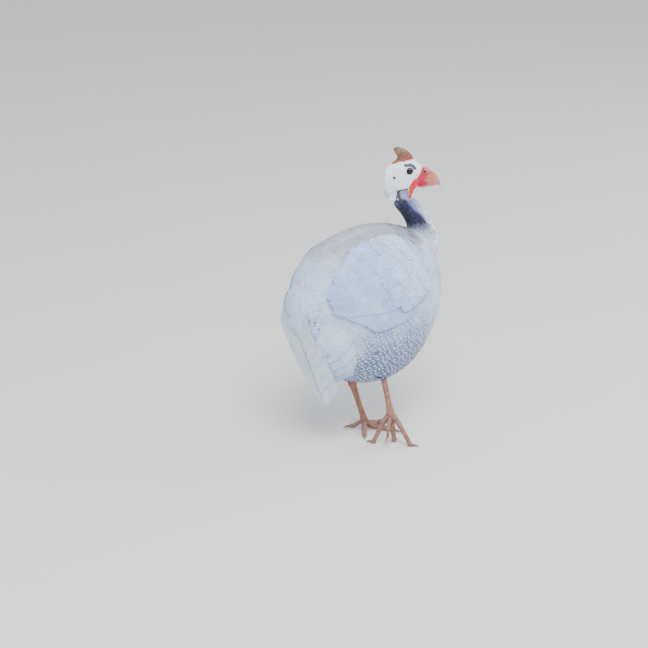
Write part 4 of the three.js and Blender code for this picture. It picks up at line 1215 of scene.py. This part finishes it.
def makeEye(name, side):
    bpy.ops.object.select_all(action="DESELECT")
    centre = toModel(headToBody([eye["x"], side * eye["y"], eye["z"]]))
    outward = Vector(headToBody([0, side, 0]) - headPivot)
    bpy.ops.mesh.primitive_uv_sphere_add(segments=48, ring_count=32, radius=eye["radius"] * mm, location=centre,
                                         rotation=outward.to_track_quat("Z", "Y").to_euler())
    piece = bpy.context.object
    bpy.ops.object.transform_apply(location=True, rotation=True, scale=True)
    piece.name = piece.data.name = "eyeball_" + name
    bpy.ops.object.shade_smooth()
    piece.data.materials.append(eyeGlaze)
    places = headPlaces(piece)
    away = np.hypot(places[:, 0] - eye["x"], places[:, 2] - eye["z"])
    colours = graded(eyeLook["iris"], eyeLook["irisEdge"], smooth(2.6, 4, away))
    colours = graded(colours, eyeLook["rim"], smooth(4.2, 4.7, away))
    paint(piece, graded(colours, eyeLook["pupil"], smooth(3.5, 2.9, away)))
    settle(piece, "eye_" + name)


makeHelmet()
makeBill("upper")
makeBill("lower")
for name, side in sides:
    makeWattle(name, side)
    makeEye(name, side)
print("head pieces")

# Legs: shanks with broad scutes down the front, toes with plates over and pads under, and claws
leg = {"hide": "#a87560", "hock": "#b8685f", "toe": "#a37a6a", "claw": "#5c4c45", "clawTip": "#93826f",
       "scutePitch": 4.2, "scuteDepth": 0.55, "toePitch": 2.6, "toeDepth": 0.35}
legs = {
    "left": {"hock": [-1, 28, 78], "ankle": [21, 25, 11], "rise": 12, "hanging": False,
             "toes": {"inner": [-128, 43], "middle": [-62, 52], "outer": [-14, 42], "back": [152, 22]}},
    "right": {"hock": [-6, -48, 123], "ankle": [6, -54, 54], "rise": 48, "hanging": True,
              "toes": {"inner": [122, 26], "middle": [26, 16], "outer": [-44, 31], "back": [-150, 9]}},
}


def plates(thing, path, front, pitch, depth, first, last):
    # raises overlapping plates on the side that faces front, and paints the piece; path in the body's mm
    places, normals = toBody(readVerts(thing)), readVerts(thing, "normal")
    steps = np.concatenate([[0], np.cumsum(np.linalg.norm(np.diff(path, axis=0), axis=1))])
    fine = np.linspace(0, steps[-1], 200)
    line = np.stack([np.interp(fine, steps, path[:, k]) for k in range(3)], -1)
    s = fine[np.linalg.norm(places[:, None] - line[None], axis=2).argmin(1)]
    facing = (normals * unit(np.asarray(front, float))).sum(1)
    saw = 1 - (s / pitch + 0.25 * np.abs(facing)) % 1
    saw = np.where(saw > 0.88, (1 - saw) / 0.12 * 0.88, saw)
    places += normals * (depth * (saw - 0.5) * smooth(0.1, 0.55, facing))[:, None]
    writeVerts(thing, toModel(places))
    groove = smooth(0.16, 0.04, saw) * smooth(0.1, 0.5, facing)
    colours = graded(first, last, smooth(0.05, 0.3, s / steps[-1]))
    # painted light and shade: up to 12% lighter on the side that faces front, darker behind and underneath
    paint(thing, colours * (1 - 0.4 * groove)[:, None] * (1 + 0.12 * smooth(-0.2, 0.8, facing))[:, None])


def toeRings(joint, heading, rows, steps):
    way = np.array([math.cos(math.radians(heading)), math.sin(math.radians(heading)), 0])
    across = np.array([-way[1], way[0], 0])
    place = between(rows, np.linspace(0, len(rows) - 1, steps))
    path = np.array([joint[0], joint[1], 0]) + way * place[:, :1] + np.array([0, 0, 1.0]) * place[:, 1:2]
    rings = []
    for centre, along, (high, wide) in zip(path, unit(np.gradient(path, axis=0)), place[:, 2:]):
        rings.append((centre + bodyShift, across * max(wide, 0.25), np.cross(along, across) * max(high, 0.25)))
    return rings, path


# Toes as rows of [way along, height, half height, half width] in mm
def flatToe(length):
    rows = [[-2 / length, 9, 4.4, 4.6], [0.15, 6.6, 4.2, 4.5], [0.28, 4.2, 4.9, 4.6], [0.38, 4, 4.8, 4.5],
            [0.5, 3.9, 3.4, 3.8], [0.6, 3.6, 4.3, 4.1], [0.69, 3.5, 4.2, 4.1], [0.8, 3.4, 3, 3.3],
            [0.89, 3.1, 3.8, 3.6], [0.96, 3, 3.7, 3.4], [1, 2.8, 2.2, 2.2]]
    return [[row[0] * length, *row[1:]] for row in rows]


def hangingToe(reach, height):
    return [[-2, height + 1, 4.4, 4.6], [reach * 0.2, height * 0.86, 4.4, 4.6],
            [reach * 0.42, height * 0.66, 4, 4.3], [reach * 0.62, height * 0.45, 3.6, 3.9],
            [reach * 0.8, height * 0.26, 3.6, 3.9],
            [reach * 0.93, height * 0.12, 3.3, 3.5], [reach - 0.6, 2.8, 4.4, 3.6], [reach + 1.6, 2, 4, 3.2],
            [reach + 3, 2.2, 2.2, 2]]


def backToe(length, rise):
    return [[-2, rise, 3.6, 3.6], [length * 0.4, (rise + 3.4) / 2, 3.2, 3.4], [length * 0.72, 3.1, 3.8, 3.2],
            [length * 0.92, 3, 3.7, 3.1], [length + 1.5, 2.8, 2, 2]]


def keepAbove(thing, lowest):
    places = readVerts(thing)
    places[:, 2] = np.maximum(places[:, 2], lowest * mm)
    writeVerts(thing, places)


def makeShank(name, hock, ankle):
    rows = [[*mix(hock, ankle, t), radius] for t, radius in
            ((-0.12, 5.5), (0.02, 7.2), (0.14, 5.2), (0.5, 4.1), (0.85, 4.6), (1, 6.2), (1.06, 4.6))]
    place = between(rows, np.linspace(0, 6, 16))
    along = unit(ankle - hock)
    across = unit(np.array([0, 1.0, 0]) - along * along[1])
    forward = np.cross(across, along)
    rings = [(row[:3] + bodyShift, across * row[3] * limbWide, forward * row[3] * limbDeep) for row in place]
    shank = loftByHand("shank_" + name, rings, legHide, levels=3)
    plates(shank, place[:, :3], [1, 0, 0.3], leg["scutePitch"], leg["scuteDepth"], leg["hock"], leg["hide"])
    settle(shank, "tarsus_" + name)


def makeToe(name, toe, spec, ankle):
    heading, reach = spec["toes"][toe]
    rows = hangingToe(reach, ankle[2]) if spec["hanging"] else flatToe(reach)
    if toe == "back":
        rows = backToe(reach, spec["rise"])
        if spec["hanging"]:  # it drops by 7 mm a row, and its claw by another 2.2 mm
            rows = [[row[0], spec["rise"] - 7 * i, *row[2:]] for i, row in enumerate(rows)]
    rings, path = toeRings(ankle, heading, rows, 2 * len(rows))
    digit = loftByHand(f"digit_{toe}_{name}", rings, legHide, around=12)
    way = path[-1] - path[0]
    plates(digit, path, np.cross(np.cross(way, [0, 0, 1.0]), way), leg["toePitch"], leg["toeDepth"], leg["toe"],
           leg["toe"])
    keepAbove(digit, 0)
    settle(digit, f"toe_{toe}_{name}")
    tip, tipZ = rows[-1][:2]
    rows = [[tip - 4, tipZ, 1.9, 1.8], [tip + 2, tipZ + 0.2, 1.9, 1.6], [tip + 6.5, tipZ - 0.6, 1.2, 1],
            [tip + 9.5, tipZ - 2, 0.3, 0.3]]
    if toe == "back" and spec["hanging"]:
        rows = [[row[0], row[1] - 2.2 * i, *row[2:]] for i, row in enumerate(rows)]
    rings, path = toeRings(ankle, heading, rows, 7)
    nail = loftByHand(f"nail_{toe}_{name}", rings, clawHorn, around=10)
    keepAbove(nail, 0.3)
    out = smooth(0, 13, np.linalg.norm(toBody(readVerts(nail)) - path[0], axis=1))[:, None]
    paint(nail, mix(toLinear(leg["claw"]), toLinear(leg["clawTip"]), out))
    settle(nail, f"claw_{toe}_{name}")


for name, spec in legs.items():
    hock, ankle = np.array(spec["hock"], float), np.array(spec["ankle"], float)
    makeShank(name, hock, ankle)
    for toe in spec["toes"]:
        makeToe(name, toe, spec, ankle)
print("legs")

# Studio: pale floor, soft light from above on the left
studio = {"floor": "#e3e2df", "floorTone": "#e7e6e3", "sky": "#eef2f8", "skyStrength": 1.0,
          "lights": [("key", (-0.9, -1.7, 2.8), 1.6, 125.0), ("fill", (2.2, -0.6, 1.8), 2.0, 32.0)]}


def makeStudio():
    bpy.ops.object.select_all(action="DESELECT")
    bpy.ops.mesh.primitive_plane_add(size=30, location=(0, 0, -0.0002))
    floor = bpy.context.object
    floor.name = "floor"
    m = newMaterial("matt studio floor", Roughness=0.85)
    tone = addNode(m, "TexNoise", {"Vector": addNode(m, "TexCoord", out=3), "Scale": 3.0, "Detail": 2.0})
    dress(m, addNode(m, "Mix", {0: tone, 6: rgba(studio["floor"]), 7: rgba(studio["floorTone"])}, out=2,
                     data_type="RGBA"))
    floor.data.materials.append(m)
    world = bpy.data.worlds.new("studio")
    bpy.context.scene.world = world
    world.use_nodes = True
    world.node_tree.nodes["Background"].inputs[0].default_value = rgba(studio["sky"])
    world.node_tree.nodes["Background"].inputs[1].default_value = studio["skyStrength"]
    for name, place, size, power in studio["lights"]:
        bpy.ops.object.light_add(type="AREA", location=place)
        light = bpy.context.object
        light.name = name
        light.data.size = size
        light.data.energy = power
        light.rotation_euler = (Vector((0, 0, 0.2)) - Vector(place)).to_track_quat("-Z", "Y").to_euler()


makeStudio()
